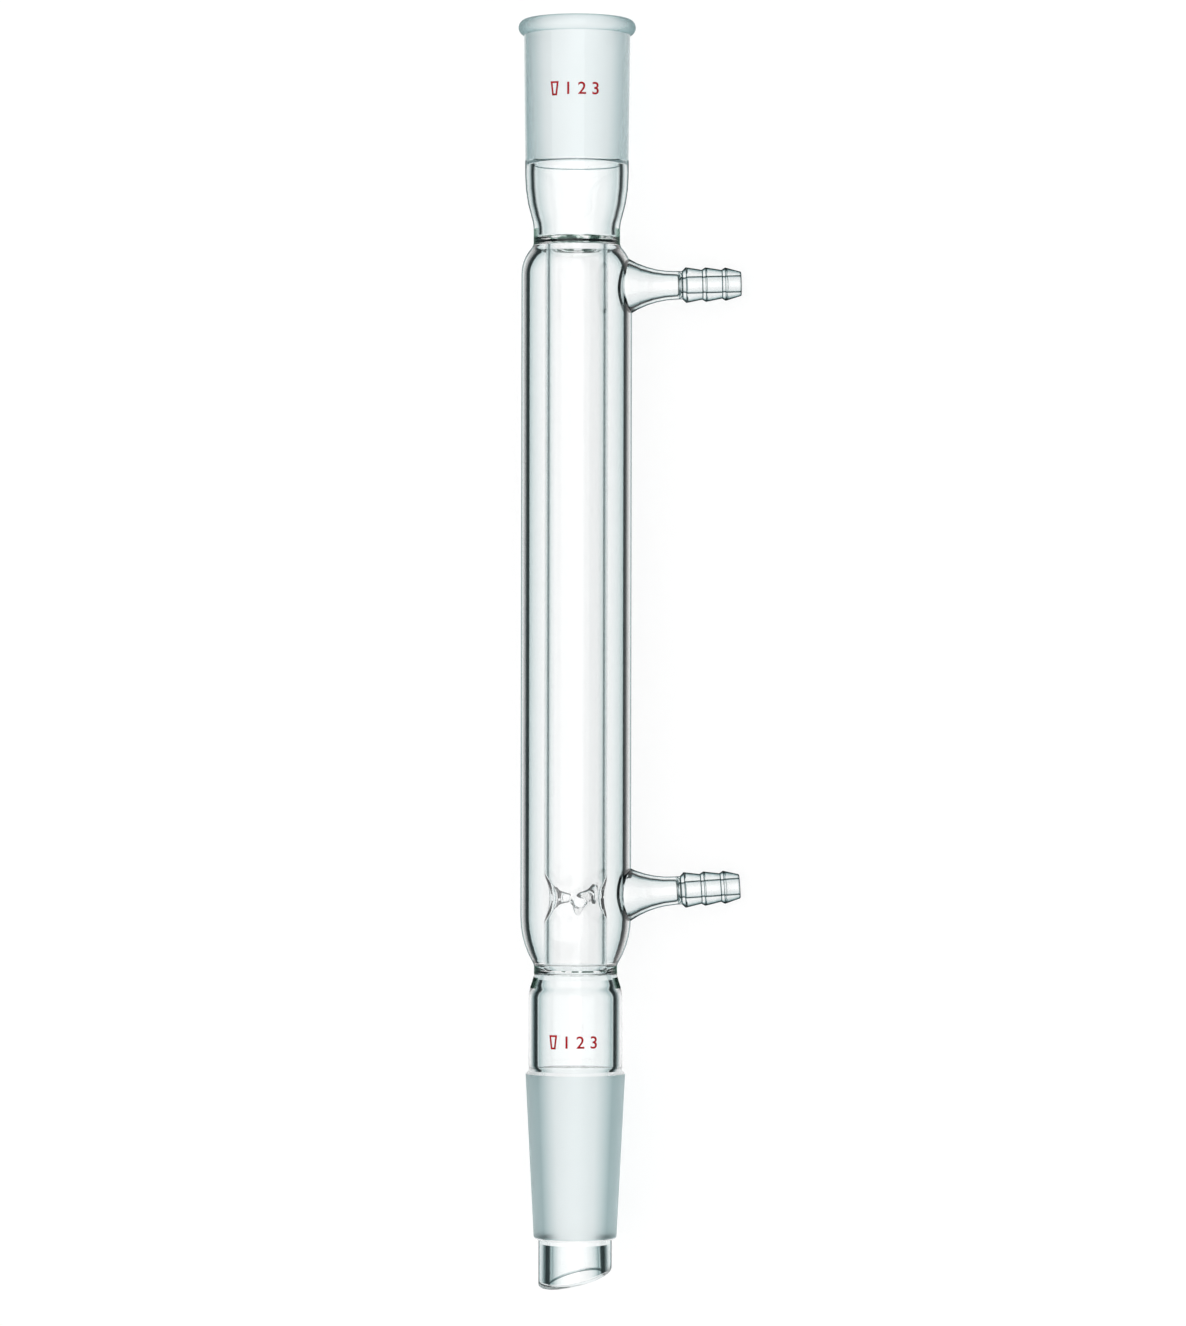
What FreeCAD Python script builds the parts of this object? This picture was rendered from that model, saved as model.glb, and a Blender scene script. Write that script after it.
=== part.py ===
# Jacketed distillation column: one piece of fused borosilicate glass.
# A packed inner tube stands in a cooling jacket with two serrated hose ports.
# A 24/40 ground socket is at the top, a 24/40 ground cone and a drip tip at the bottom.
# Millimetres. The outlines are drawn with the column upright, tip at zero, ports to +X,
# and the finished body is laid down on its rim, its jacket and the end of a port.

import FreeCAD, Part
import math
import os
import Sketcher
from FreeCAD import Placement, Rotation, Vector

NODE = "glass_column"

SIZES = (
    # Drip tip
    ("tip_length", 12.0, "long side of the drip tip below the ground cone"),
    ("tip_od", 17.6, "outer diameter of the drip tip"),
    ("tip_wall", 2.25, "wall of the drip tip"),
    ("tip_slope", 14.0, "slope of the cut across the drip tip, degrees"),
    ("tip_turn", 35.0, "turn of the cut's long side towards the front, degrees"),
    ("tip_polish", 0.7, "fire-polished rounding at the tip's edges"),
    # Ground cone, 24/40
    ("cone_od", 24.0, "large diameter of the ground cone"),
    ("cone_length", 40.0, "length of the ground cone"),
    ("joint_taper", 0.1, "loss of diameter per length on cone and socket"),
    ("cone_wall", 2.7, "wall of the ground cone"),
    ("tip_bore_step", 3.6, "height over which the tip's bore widens in the cone"),
    ("stem_bore_step", 2.0, "height over which the cone's bore widens to the stem"),
    ("cone_end_land", 0.1, "flat ring between the tip and the rounding at the cone's end"),
    ("cone_shoulder", 0.8, "height of the sloped step from the cone to the stem"),
    # Stem between the cone and the lower seal
    ("stem_od", 22.6, "outer diameter of the stem"),
    ("stem_wall", 1.65, "wall of the stem"),
    ("stem_length", 18.0, "stem from the cone to the start of its neck"),
    ("stem_neck_height", 7.0, "height over which the stem narrows to its neck"),
    # Ring seals
    ("lower_neck_od", 20.0, "outer diameter at the lower ring seal"),
    ("upper_neck_od", 20.8, "outer diameter at the upper ring seal"),
    ("neck_wall", 1.6, "wall beside the ring seals"),
    ("lower_seal_height", 0.6, "straight neck at the lower ring seal"),
    ("upper_seal_height", 3.1, "straight neck at the upper ring seal"),
    ("seal_web", 1.3, "glass between the neck's end and the jacket space"),
    ("seal_flare_height", 3.0, "height over which the inner tube flares into a seal"),
    ("seal_groove_round", 0.8, "rounding at both ends of the jacket space"),
    # Jacket
    ("jacket_od", 26.6, "outer diameter of the jacket"),
    ("jacket_wall", 1.6, "wall of the jacket"),
    ("jacket_length", 154.8, "straight length of the jacket"),
    ("lower_shoulder_height", 12.0, "height of the jacket's lower shoulder"),
    ("upper_shoulder_height", 7.7, "height of the jacket's upper shoulder"),
    # Inner tube
    ("tube_od", 15.2, "outer diameter of the inner tube"),
    ("tube_wall", 0.9, "wall of the inner tube"),
    # Bulb under the socket
    ("bulb_od", 24.9, "outer diameter of the bulb"),
    ("bulb_wall", 1.7, "wall of the bulb"),
    ("bulb_shoulder_height", 13.2, "height over which the neck widens to the bulb"),
    ("bulb_length", 3.3, "straight length of the bulb"),
    ("bulb_step_height", 1.2, "height of the step from the bulb to the ground bore"),
    # Ground socket, 24/40
    ("socket_bore", 24.0, "bore at the mouth of the socket"),
    ("socket_od", 25.6, "outer diameter of the socket under its bead"),
    ("ground_depth", 34.0, "depth of the ground zone in the socket"),
    ("bead_stand", 1.3, "height of the rim bead above the socket's outside"),
    ("bead_height", 3.9, "thickness of the rim bead"),
    ("bead_root_round", 0.6, "rounding under the rim bead"),
    ("mouth_round", 0.3, "rounding at the mouth of the socket"),
    # Hose ports
    ("lower_port_height", 4.8, "lower port's root above the end of the straight jacket"),
    ("upper_port_drop", 3.2, "upper port's root below the end of the straight jacket"),
    ("lower_port_tilt", 4.0, "upward tilt of the lower port, degrees"),
    ("upper_port_tilt", 1.5, "upward tilt of the upper port, degrees"),
    ("port_root_od", 13.4, "diameter of the flare where a port leaves the jacket"),
    ("port_seat", 0.7, "depth of the flare's end below the jacket's crest"),
    ("port_flare_length", 11.4, "length of the flare"),
    ("port_neck_od", 6.8, "diameter of the port's neck"),
    ("port_neck_length", 1.4, "length of the port's neck"),
    ("port_wall", 0.8, "wall of the neck"),
    ("port_root_wall", 1.3, "wall of the flare at the jacket"),
    ("barb_count", 3, "serrations on a port"),
    ("barb_pitch", 4.75, "distance between the serrations"),
    ("barb_od", 8.6, "crest diameter of the first serration"),
    ("barb_od_drop", 0.3, "loss of crest diameter from one serration to the next"),
    ("barb_slope_drop", 0.7, "fall of a serration's back, on the radius"),
    ("barb_rise", 0.9, "length of a serration's steep face"),
    ("port_end_od", 6.0, "diameter at the end of a port"),
    ("port_end_round", 0.4, "fire-polished rounding at the end of a port"),
    ("port_bore", 4.0, "bore through the serrations"),
    ("port_bore_funnel", 1.6, "length over which the neck's bore narrows"),
    # Indents that carry the packing
    ("indent_height", 4.8, "indents' mouths above the end of the straight jacket"),
    ("indent_mouth_od", 9.6, "mouth of an indent in the inner tube"),
    ("indent_overrun", 0.05, "end of the hollow's arc past the outside of the inner tube"),
    ("indent_throat_od", 0.6, "narrow end of the hollow in an indent"),
    ("indent_hollow_tip", 3.0, "column axis to the narrow end of the hollow"),
    ("indent_wall", 0.7, "glass round the hollow of an indent"),
    ("indent_nose_od", 1.7, "thickness of an indent's solid nose"),
    ("indent_gap", 0.6, "column axis to the nose of an indent"),
    ("left_indent_turn", 160.0, "direction of the left indent, degrees from the ports"),
    ("left_nose_droop", 2.0, "droop of the left indent's nose, degrees"),
    ("right_indent_turn", 40.0, "direction of the right indent"),
    ("right_nose_droop", 2.0, "droop of the right indent's nose"),
    ("front_indent_turn", 280.0, "direction of the front indent"),
    ("front_nose_droop", 55.0, "droop of the front indent's nose"),
)

# Heights up the column, each worked out from the lengths below it
CONE_END = "Sizes.tip_length"
CONE_TOP = CONE_END + " + Sizes.cone_length"
STEM_TOP = CONE_TOP + " + Sizes.stem_length"
LOWER_SEAL = STEM_TOP + " + Sizes.stem_neck_height"
LOWER_SEAL_TOP = LOWER_SEAL + " + Sizes.lower_seal_height"
JACKET_LOW = LOWER_SEAL_TOP + " + Sizes.lower_shoulder_height"
JACKET_HIGH = JACKET_LOW + " + Sizes.jacket_length"
UPPER_SEAL = JACKET_HIGH + " + Sizes.upper_shoulder_height"
BULB_LOW = UPPER_SEAL + " + Sizes.upper_seal_height"
BULB_HIGH = BULB_LOW + " + Sizes.bulb_shoulder_height"
GROUND_END = BULB_HIGH + " + Sizes.bulb_length"
RIM = GROUND_END + " + Sizes.ground_depth"
BEAD_MIDDLE = RIM + " - Sizes.bead_height / 2"

# Radii that several outlines share
CONE_END_RADIUS = "(Sizes.cone_od - Sizes.cone_length * Sizes.joint_taper) / 2"
CONE_END_ROUND = f"({CONE_END_RADIUS} - Sizes.tip_od / 2 - Sizes.cone_end_land)"
JACKET_RADIUS = "Sizes.jacket_od / 2"
JACKET_BORE_RADIUS = JACKET_RADIUS + " - Sizes.jacket_wall"
TUBE_RADIUS = "Sizes.tube_od / 2"
TUBE_BORE_RADIUS = TUBE_RADIUS + " - Sizes.tube_wall"
STEM_BORE_RADIUS = "Sizes.stem_od / 2 - Sizes.stem_wall"
GROUND_END_RADIUS = "(Sizes.socket_bore - Sizes.ground_depth * Sizes.joint_taper) / 2"

# Share of an S-shaped shoulder's height that its first arc takes
EVEN = 0.5
LOWER_SHOULDER_SHARE = 0.1
UPPER_SHOULDER_SHARE = 0.8
BULB_SHARE = 0.2
LOWER_SPACE_SHARE = 0.1
UPPER_SPACE_SHARE = 0.75

# Stations along a port, measured from the column's axis
PORT_ROOT = JACKET_RADIUS + " - Sizes.port_seat"
PORT_NECK = PORT_ROOT + " + Sizes.port_flare_length"
PORT_NECK_END = PORT_NECK + " + Sizes.port_neck_length"
PORT_END = PORT_NECK_END + " + Sizes.barb_count * Sizes.barb_pitch"
JACKET_SPACE_MIDDLE = f"({JACKET_BORE_RADIUS} + {TUBE_RADIUS}) / 2"

# Ports as name, height of the root on the column's axis and upward tilt
PORTS = (
    ("lower_port", f"{JACKET_LOW} + Sizes.lower_port_height", "Sizes.lower_port_tilt"),
    ("upper_port", f"{JACKET_HIGH} - Sizes.upper_port_drop", "Sizes.upper_port_tilt"),
)
INDENTS = ("left", "right", "front")


def make_sheet(doc):
    """Write the driving dimensions into the document's spreadsheet."""
    sheet = doc.addObject("Spreadsheet::Sheet", "Sizes")
    for row, (alias, value, meaning) in enumerate(SIZES, start=1):
        sheet.set(f"A{row}", meaning)
        sheet.set(f"B{row}", str(value))
        sheet.setAlias(f"B{row}", alias)
    doc.recompute()
    return sheet


def plane(body, role):
    """Return one of the body's own origin planes or axes."""
    return next(item for item in body.Origin.OriginFeatures if item.Role == role)


def new_sketch(body, name, role="XZ_Plane"):
    """Start a sketch on one of the body's origin planes."""
    sketch = body.newObject("Sketcher::SketchObject", name)
    sketch.AttachmentSupport = [(plane(body, role), "")]
    sketch.MapMode = "FlatFace"
    return sketch


class Outline:
    """A closed chain of lines and arcs whose corners are bound to the sheet."""

    def __init__(self, sketch, across, up):
        self.sketch = sketch
        self.start = (across, up)
        self.here = (across, up)
        self.first = None
        self.last = None

    def value(self, rule):
        """Work out a rule's present value."""
        return self.sketch.evalExpression(rule)

    def point(self, rules):
        """Turn a pair of rules into a point of the sketch."""
        return Vector(self.value(rules[0]), self.value(rules[1]), 0)

    def bind(self, index, end, rules):
        """Tie one end of a piece of the outline to its two rules."""
        for kind, rule, axis in (("DistanceX", rules[0], -2), ("DistanceY", rules[1], -1)):
            if rule == "0":
                self.sketch.addConstraint(Sketcher.Constraint("PointOnObject", index, end, axis))
                continue
            made = self.sketch.addConstraint(
                Sketcher.Constraint(kind, -1, 1, index, end, self.value(rule)))
            self.sketch.setExpression(f"Constraints[{made}]", rule)

    def join(self, index, begin, end, rules, closing=False):
        """Link a new piece to the chain and bind its far end."""
        if self.last is None:
            self.first = (index, begin)
            self.bind(index, begin, self.start)
        else:
            self.sketch.addConstraint(Sketcher.Constraint("Coincident", *self.last, index, begin))
        if closing:
            self.sketch.addConstraint(Sketcher.Constraint("Coincident", index, end, *self.first))
        else:
            self.bind(index, end, rules)
        self.last = (index, end)
        self.here = rules

    def line(self, across, up):
        """Draw a straight piece to a new corner."""
        rules = (across, up)
        index = self.sketch.addGeometry(Part.LineSegment(self.point(self.here), self.point(rules)))
        self.join(index, 1, 2, rules)

    def arc(self, across, up, radius, left):
        """Draw an arc to a new corner, turning left or right."""
        rules = (across, up)
        a, b = self.point(self.here), self.point(rules)
        chord = b - a
        size = self.value(radius)
        rise = math.sqrt(max(size ** 2 - chord.Length ** 2 / 4, 0))
        side = Vector(-chord.y, chord.x, 0).normalize() * (rise if left else -rise)
        centre = (a + b) * 0.5 + side
        low, high = (a, b) if left else (b, a)
        start = math.atan2(low.y - centre.y, low.x - centre.x)
        stop = math.atan2(high.y - centre.y, high.x - centre.x)
        if stop <= start:
            stop += 2 * math.pi
        circle = Part.Circle(centre, Vector(0, 0, 1), size)
        index = self.sketch.addGeometry(Part.ArcOfCircle(circle, start, stop))
        begin, end = (1, 2) if left else (2, 1)
        self.join(index, begin, end, rules)
        made = self.sketch.addConstraint(Sketcher.Constraint("Radius", index, size))
        self.sketch.setExpression(f"Constraints[{made}]", radius)

    def shoulder(self, across, up, share, along="up"):
        """Draw an S of two tangent arcs that leaves and arrives along one direction."""
        a, b = self.point(self.here), self.point((across, up))
        step = b.x - a.x if along == "up" else b.y - a.y
        run = b.y - a.y if along == "up" else b.x - a.x
        if abs(step) < 0.01:
            self.line(across, up)
            return
        wide = f"(({across}) - ({self.here[0]}))"
        high = f"(({up}) - ({self.here[1]}))"
        across_step = wide if along == "up" else high
        total = f"({wide} ^ 2 + {high} ^ 2) / (2 * abs({across_step}))"
        middle = (f"{self.here[0]} + {share} * {wide}", f"{self.here[1]} + {share} * {high}")
        left = (step * run < 0) == (along == "up")
        self.arc(*middle, f"{share} * {total}", left)
        self.arc(across, up, f"{1 - share} * {total}", not left)

    def close(self):
        """Draw the straight piece back to the first corner."""
        a, b = self.point(self.here), self.point(self.start)
        index = self.sketch.addGeometry(Part.LineSegment(a, b))
        self.join(index, 1, 2, self.start, closing=True)


def turn(body, kind, sketch, name, axis):
    """Spin a sketch a full turn, adding or cutting glass."""
    feature = body.newObject(kind, name)
    feature.Profile = sketch
    feature.ReferenceAxis = (sketch, [axis])
    feature.Angle = 360
    sketch.Visibility = False
    before = feature.BaseFeature.Shape.Volume if feature.BaseFeature else 0
    body.Document.recompute()
    grown = feature.Shape.Volume - before
    if (grown > 0) != (kind == "PartDesign::Revolution"):
        raise RuntimeError(f"{name} changed the glass by {grown:.2f} mm3")
    return feature


def add_blank(body):
    """Turn the outside of the whole column as a solid."""
    sketch = new_sketch(body, "outside")
    o = Outline(sketch, "0", "0")
    o.line("Sizes.tip_od / 2", "0")
    o.line("Sizes.tip_od / 2", CONE_END)
    o.line("Sizes.tip_od / 2 + Sizes.cone_end_land", CONE_END)
    o.arc(CONE_END_RADIUS, f"{CONE_END} + {CONE_END_ROUND}", CONE_END_ROUND, True)
    o.line("Sizes.cone_od / 2", CONE_TOP)
    o.line("Sizes.stem_od / 2", f"{CONE_TOP} + Sizes.cone_shoulder")
    o.line("Sizes.stem_od / 2", STEM_TOP)
    o.shoulder("Sizes.lower_neck_od / 2", LOWER_SEAL, EVEN)
    o.line("Sizes.lower_neck_od / 2", LOWER_SEAL_TOP)
    o.shoulder(JACKET_RADIUS, JACKET_LOW, LOWER_SHOULDER_SHARE)
    o.line(JACKET_RADIUS, JACKET_HIGH)
    o.shoulder("Sizes.upper_neck_od / 2", UPPER_SEAL, UPPER_SHOULDER_SHARE)
    o.line("Sizes.upper_neck_od / 2", BULB_LOW)
    o.shoulder("Sizes.bulb_od / 2", BULB_HIGH, BULB_SHARE)
    o.line("Sizes.bulb_od / 2", GROUND_END)
    bead_centre = "(Sizes.socket_od / 2 + Sizes.bead_stand - Sizes.bead_height / 2)"
    bead_foot = (f"{BEAD_MIDDLE} - sqrt((Sizes.bead_height / 2) ^ 2"
                 " - (Sizes.bead_height / 2 - Sizes.bead_stand) ^ 2)")
    o.line("Sizes.socket_od / 2", bead_foot)
    o.arc("Sizes.socket_od / 2 + Sizes.bead_stand", BEAD_MIDDLE, "Sizes.bead_height / 2", True)
    o.arc(bead_centre, RIM, "Sizes.bead_height / 2", True)
    o.line("0", RIM)
    o.close()
    return turn(body, "PartDesign::Revolution", sketch, "blank", "V_Axis")


def cut_bore(body):
    """Cut the way through tip, cone, stem, inner tube, bulb and ground socket."""
    sketch = new_sketch(body, "bore")
    tip_bore = "Sizes.tip_od / 2 - Sizes.tip_wall"
    lower_neck_bore = "Sizes.lower_neck_od / 2 - Sizes.neck_wall"
    upper_neck_bore = "Sizes.upper_neck_od / 2 - Sizes.neck_wall"
    bulb_bore = "Sizes.bulb_od / 2 - Sizes.bulb_wall"
    o = Outline(sketch, "0", "0")
    o.line(tip_bore, "0")
    o.line(tip_bore, f"{CONE_END} - {CONE_END_ROUND}")
    o.shoulder(f"{CONE_END_RADIUS} - Sizes.cone_wall + Sizes.tip_bore_step * Sizes.joint_taper / 2",
               f"{CONE_END} + Sizes.tip_bore_step", EVEN)
    o.line("Sizes.cone_od / 2 - Sizes.cone_wall", CONE_TOP)
    o.shoulder(STEM_BORE_RADIUS, f"{CONE_TOP} + Sizes.stem_bore_step", EVEN)
    o.line(STEM_BORE_RADIUS, STEM_TOP)
    o.shoulder(lower_neck_bore, f"{LOWER_SEAL} - Sizes.seal_flare_height / 2", EVEN)
    o.shoulder(TUBE_BORE_RADIUS, f"{LOWER_SEAL} + Sizes.seal_flare_height / 2", EVEN)
    o.line(TUBE_BORE_RADIUS, f"{UPPER_SEAL} - Sizes.seal_flare_height / 2")
    o.shoulder(upper_neck_bore, f"{UPPER_SEAL} + Sizes.seal_flare_height / 2", EVEN)
    o.line(upper_neck_bore, BULB_LOW)
    o.shoulder(bulb_bore, BULB_HIGH, BULB_SHARE)
    o.line(bulb_bore, f"{GROUND_END} - Sizes.bulb_step_height")
    o.shoulder(GROUND_END_RADIUS, GROUND_END, EVEN)
    o.line("Sizes.socket_bore / 2", f"{RIM} - Sizes.mouth_round")
    o.arc("Sizes.socket_bore / 2 + Sizes.mouth_round", RIM, "Sizes.mouth_round", False)
    o.line("0", RIM)
    o.close()
    return turn(body, "PartDesign::Groove", sketch, "through_bore", "V_Axis")


def cut_jacket_space(body):
    """Cut the closed ring-shaped space between the inner tube and the jacket."""
    sketch = new_sketch(body, "jacket_space_outline")
    low = f"{LOWER_SEAL} + Sizes.seal_web + Sizes.seal_groove_round"
    high = f"{UPPER_SEAL} - Sizes.seal_web - Sizes.seal_groove_round"
    groove = "Sizes.seal_groove_round"
    o = Outline(sketch, TUBE_RADIUS, JACKET_LOW)
    o.line(TUBE_RADIUS, high)
    o.arc(f"{TUBE_RADIUS} + {groove}", f"{high} + {groove}", groove, False)
    o.arc(f"{TUBE_RADIUS} + 2 * {groove}", high, groove, False)
    o.shoulder(JACKET_BORE_RADIUS, JACKET_HIGH, 1 - UPPER_SPACE_SHARE)
    o.line(JACKET_BORE_RADIUS, JACKET_LOW)
    o.shoulder(f"{TUBE_RADIUS} + 2 * {groove}", low, 1 - LOWER_SPACE_SHARE)
    o.arc(f"{TUBE_RADIUS} + {groove}", f"{low} - {groove}", groove, False)
    o.arc(TUBE_RADIUS, low, groove, False)
    o.close()
    return turn(body, "PartDesign::Groove", sketch, "jacket_space", "V_Axis")


def port_sketch(body, name, height, tilt):
    """Start a sketch whose first axis runs out along a tilted port."""
    sketch = new_sketch(body, name)
    sketch.setExpression(
        "AttachmentOffset", f"placement(vector(0; {height}; 0); rotation(vector(0; 0; 1); {tilt}))")
    body.Document.recompute()
    return sketch


def add_port(body, name, height, tilt, barb_count):
    """Add a flared hose port with its serrations."""
    sketch = port_sketch(body, name + "_outside", height, tilt)
    root = "Sizes.port_root_od / 2"
    neck = "Sizes.port_neck_od / 2"
    flare = (f"(Sizes.port_flare_length ^ 2 + ({root} - {neck}) ^ 2) / (2 * ({root} - {neck}))")
    o = Outline(sketch, JACKET_SPACE_MIDDLE, "0")
    o.line(JACKET_SPACE_MIDDLE, root)
    o.line(PORT_ROOT, root)
    o.arc(PORT_NECK, neck, flare, True)
    o.line(PORT_NECK_END, neck)
    for barb in range(barb_count):
        crest = f"(Sizes.barb_od - {barb} * Sizes.barb_od_drop) / 2"
        start = f"{PORT_NECK_END} + {barb} * Sizes.barb_pitch"
        o.line(f"{start} + Sizes.barb_rise", crest)
        if barb + 1 < barb_count:
            o.line(f"{start} + Sizes.barb_pitch", f"{crest} - Sizes.barb_slope_drop")
    o.line(PORT_END, "Sizes.port_end_od / 2")
    o.line(PORT_END, "0")
    o.close()
    return turn(body, "PartDesign::Revolution", sketch, name, "H_Axis")


def cut_port_bore(body, name, height, tilt):
    """Cut a port's way from its end into the jacket space."""
    sketch = port_sketch(body, name + "_bore_outline", height, tilt)
    root = "(Sizes.port_root_od / 2 - Sizes.port_root_wall)"
    neck = "(Sizes.port_neck_od / 2 - Sizes.port_wall)"
    flare = (f"(Sizes.port_flare_length ^ 2 + ({root} - {neck}) ^ 2) / (2 * ({root} - {neck}))")
    o = Outline(sketch, JACKET_SPACE_MIDDLE, "0")
    o.line(JACKET_SPACE_MIDDLE, root)
    o.line(PORT_ROOT, root)
    o.arc(PORT_NECK, neck, flare, True)
    o.shoulder(f"{PORT_NECK} + Sizes.port_bore_funnel", "Sizes.port_bore / 2", EVEN, "across")
    o.line(PORT_END, "Sizes.port_bore / 2")
    o.line(PORT_END, "0")
    o.close()
    return turn(body, "PartDesign::Groove", sketch, name + "_bore", "H_Axis")


# Trumpet form of an indent's hollow, a single arc that lies nearly along the tube at its mouth
THROAT = "Sizes.indent_throat_od / 2"
MOUTH = TUBE_RADIUS + " + Sizes.indent_overrun"
INDENT_RUN = f"({MOUTH} - Sizes.indent_hollow_tip)"
INDENT_RISE = f"(Sizes.indent_mouth_od / 2 - {THROAT})"
TRUMPET = f"(({INDENT_RUN} ^ 2 + {INDENT_RISE} ^ 2) / (2 * {INDENT_RISE}))"
INDENT_HEIGHT = f"{JACKET_LOW} + Sizes.indent_height"


def indent_sketch(body, side, purpose):
    """Start a sketch whose first axis runs out from the column's axis to an indent's mouth."""
    sketch = new_sketch(body, f"{side}_{purpose}")
    sketch.setExpression(
        "AttachmentOffset",
        f"placement(vector(0; {INDENT_HEIGHT}; 0);"
        f" rotation(vector(0; 1; 0); Sizes.{side}_indent_turn))")
    body.Document.recompute()
    return sketch


def add_indent(body, side):
    """Add the trumpet-shaped glass of an indent, from the end of its hollow to the wall."""
    sketch = indent_sketch(body, side, "indent_glass")
    bulb = f"({THROAT} + Sizes.indent_wall)"
    shell = f"({TRUMPET} - Sizes.indent_wall)"
    foot = f"Sizes.indent_hollow_tip + {INDENT_RUN} * {shell} / {TRUMPET}"
    foot_radius = f"{THROAT} + {TRUMPET} - {shell} * (1 - {INDENT_RISE} / {TRUMPET})"
    o = Outline(sketch, f"Sizes.indent_hollow_tip - {bulb}", "0")
    o.arc("Sizes.indent_hollow_tip", bulb, bulb, False)
    o.arc(foot, foot_radius, shell, True)
    o.line(JACKET_SPACE_MIDDLE, foot_radius)
    o.line(JACKET_SPACE_MIDDLE, "0")
    o.close()
    return turn(body, "PartDesign::Revolution", sketch, side + "_indent", "H_Axis")


def add_nose(body, side):
    """Add the solid nose that runs on from an indent's hollow, drooping as it cooled."""
    sketch = new_sketch(body, side + "_nose_outline")
    bearing = f"Sizes.{side}_indent_turn"
    droop = f"Sizes.{side}_nose_droop"
    tip = "Sizes.indent_hollow_tip"
    sketch.setExpression(
        "AttachmentOffset",
        f"placement(vector({tip} * cos({bearing}); {INDENT_HEIGHT}; -{tip} * sin({bearing}));"
        f" rotation(vector(0; 1; 0); {bearing}) * rotation(vector(0; 0; 1); {droop}))")
    body.Document.recompute()
    radius = "Sizes.indent_nose_od / 2"
    length = f"({tip} - Sizes.indent_gap) / cos({droop})"
    o = Outline(sketch, f"-{length}", "0")
    o.arc(f"{radius} - {length}", radius, radius, False)
    o.line("0", radius)
    o.line("0", "0")
    o.close()
    return turn(body, "PartDesign::Revolution", sketch, side + "_nose", "H_Axis")


def cut_indent(body, side):
    """Cut the hollow of an indent, open to the jacket space."""
    sketch = indent_sketch(body, side, "indent_hollow_outline")
    mouth = "Sizes.indent_mouth_od / 2"
    o = Outline(sketch, "Sizes.indent_hollow_tip", "0")
    o.line("Sizes.indent_hollow_tip", THROAT)
    o.arc(MOUTH, mouth, TRUMPET, True)
    o.line(JACKET_SPACE_MIDDLE, mouth)
    o.line(JACKET_SPACE_MIDDLE, "0")
    o.close()
    return turn(body, "PartDesign::Groove", sketch, side + "_indent_hollow", "H_Axis")


def cut_tip(body):
    """Cut the drip tip off at a slope, long side at the left and front."""
    sketch = new_sketch(body, "tip_slope_outline")
    sketch.setExpression(
        "AttachmentOffset", "placement(vector(0; 0; 0); rotation(vector(0; 1; 0); Sizes.tip_turn))")
    side = "Sizes.tip_od / 2"
    o = Outline(sketch, f"-{side}", "0")
    o.line("Sizes.tip_od", f"({side} + Sizes.tip_od) * tan(Sizes.tip_slope)")
    o.line("Sizes.tip_od", "0")
    o.close()
    pocket = body.newObject("PartDesign::Pocket", "tip_cut")
    pocket.Profile = sketch
    pocket.Type = "ThroughAll"
    pocket.SideType = "Symmetric"
    sketch.Visibility = False
    body.Document.recompute()
    return pocket


def fillet(body, name, test, radius):
    """Round the edges of the body that pass a test."""
    edges = [f"Edge{number}" for number, edge in enumerate(body.Tip.Shape.Edges, start=1)
             if test(edge.BoundBox)]
    if not edges:
        raise RuntimeError(f"{name} found no edge")
    base = body.Tip
    feature = body.newObject("PartDesign::Fillet", name)
    feature.Base = (base, edges)
    feature.setExpression("Radius", radius)
    body.Document.recompute()
    return feature


def polish_tip(body, sheet):
    """Fire-polish the sloping end of the drip tip, inside and outside."""
    top = 2 * sheet.tip_od * math.tan(math.radians(sheet.tip_slope))
    bore = sheet.tip_od - 2 * sheet.tip_wall
    return fillet(body, "tip_rounding",
                  lambda box: box.ZMax < top and box.XLength > 0.9 * bore, "Sizes.tip_polish")


def round_bead_root(body, sheet):
    """Round the corner between the socket's outside and its bead."""
    middle = rule_value(body, BEAD_MIDDLE)
    low = middle - sheet.bead_height / 2
    return fillet(body, "bead_root_rounding",
                  lambda box: low < box.ZMin and box.ZMax < middle
                  and abs(box.XLength - sheet.socket_od) < 0.01, "Sizes.bead_root_round")


def polish_port_ends(body, sheet):
    """Fire-polish the outer edge at the end of both ports."""
    reach = body.Tip.Shape.BoundBox.XMax - sheet.port_end_od / 2
    return fillet(body, "port_end_rounding",
                  lambda box: box.XMin > reach and abs(box.YLength - sheet.port_end_od) < 0.01,
                  "Sizes.port_end_round")


def rule_value(body, rule):
    """Work out a rule from the sheet."""
    return body.Tip.evalExpression(rule)


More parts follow.
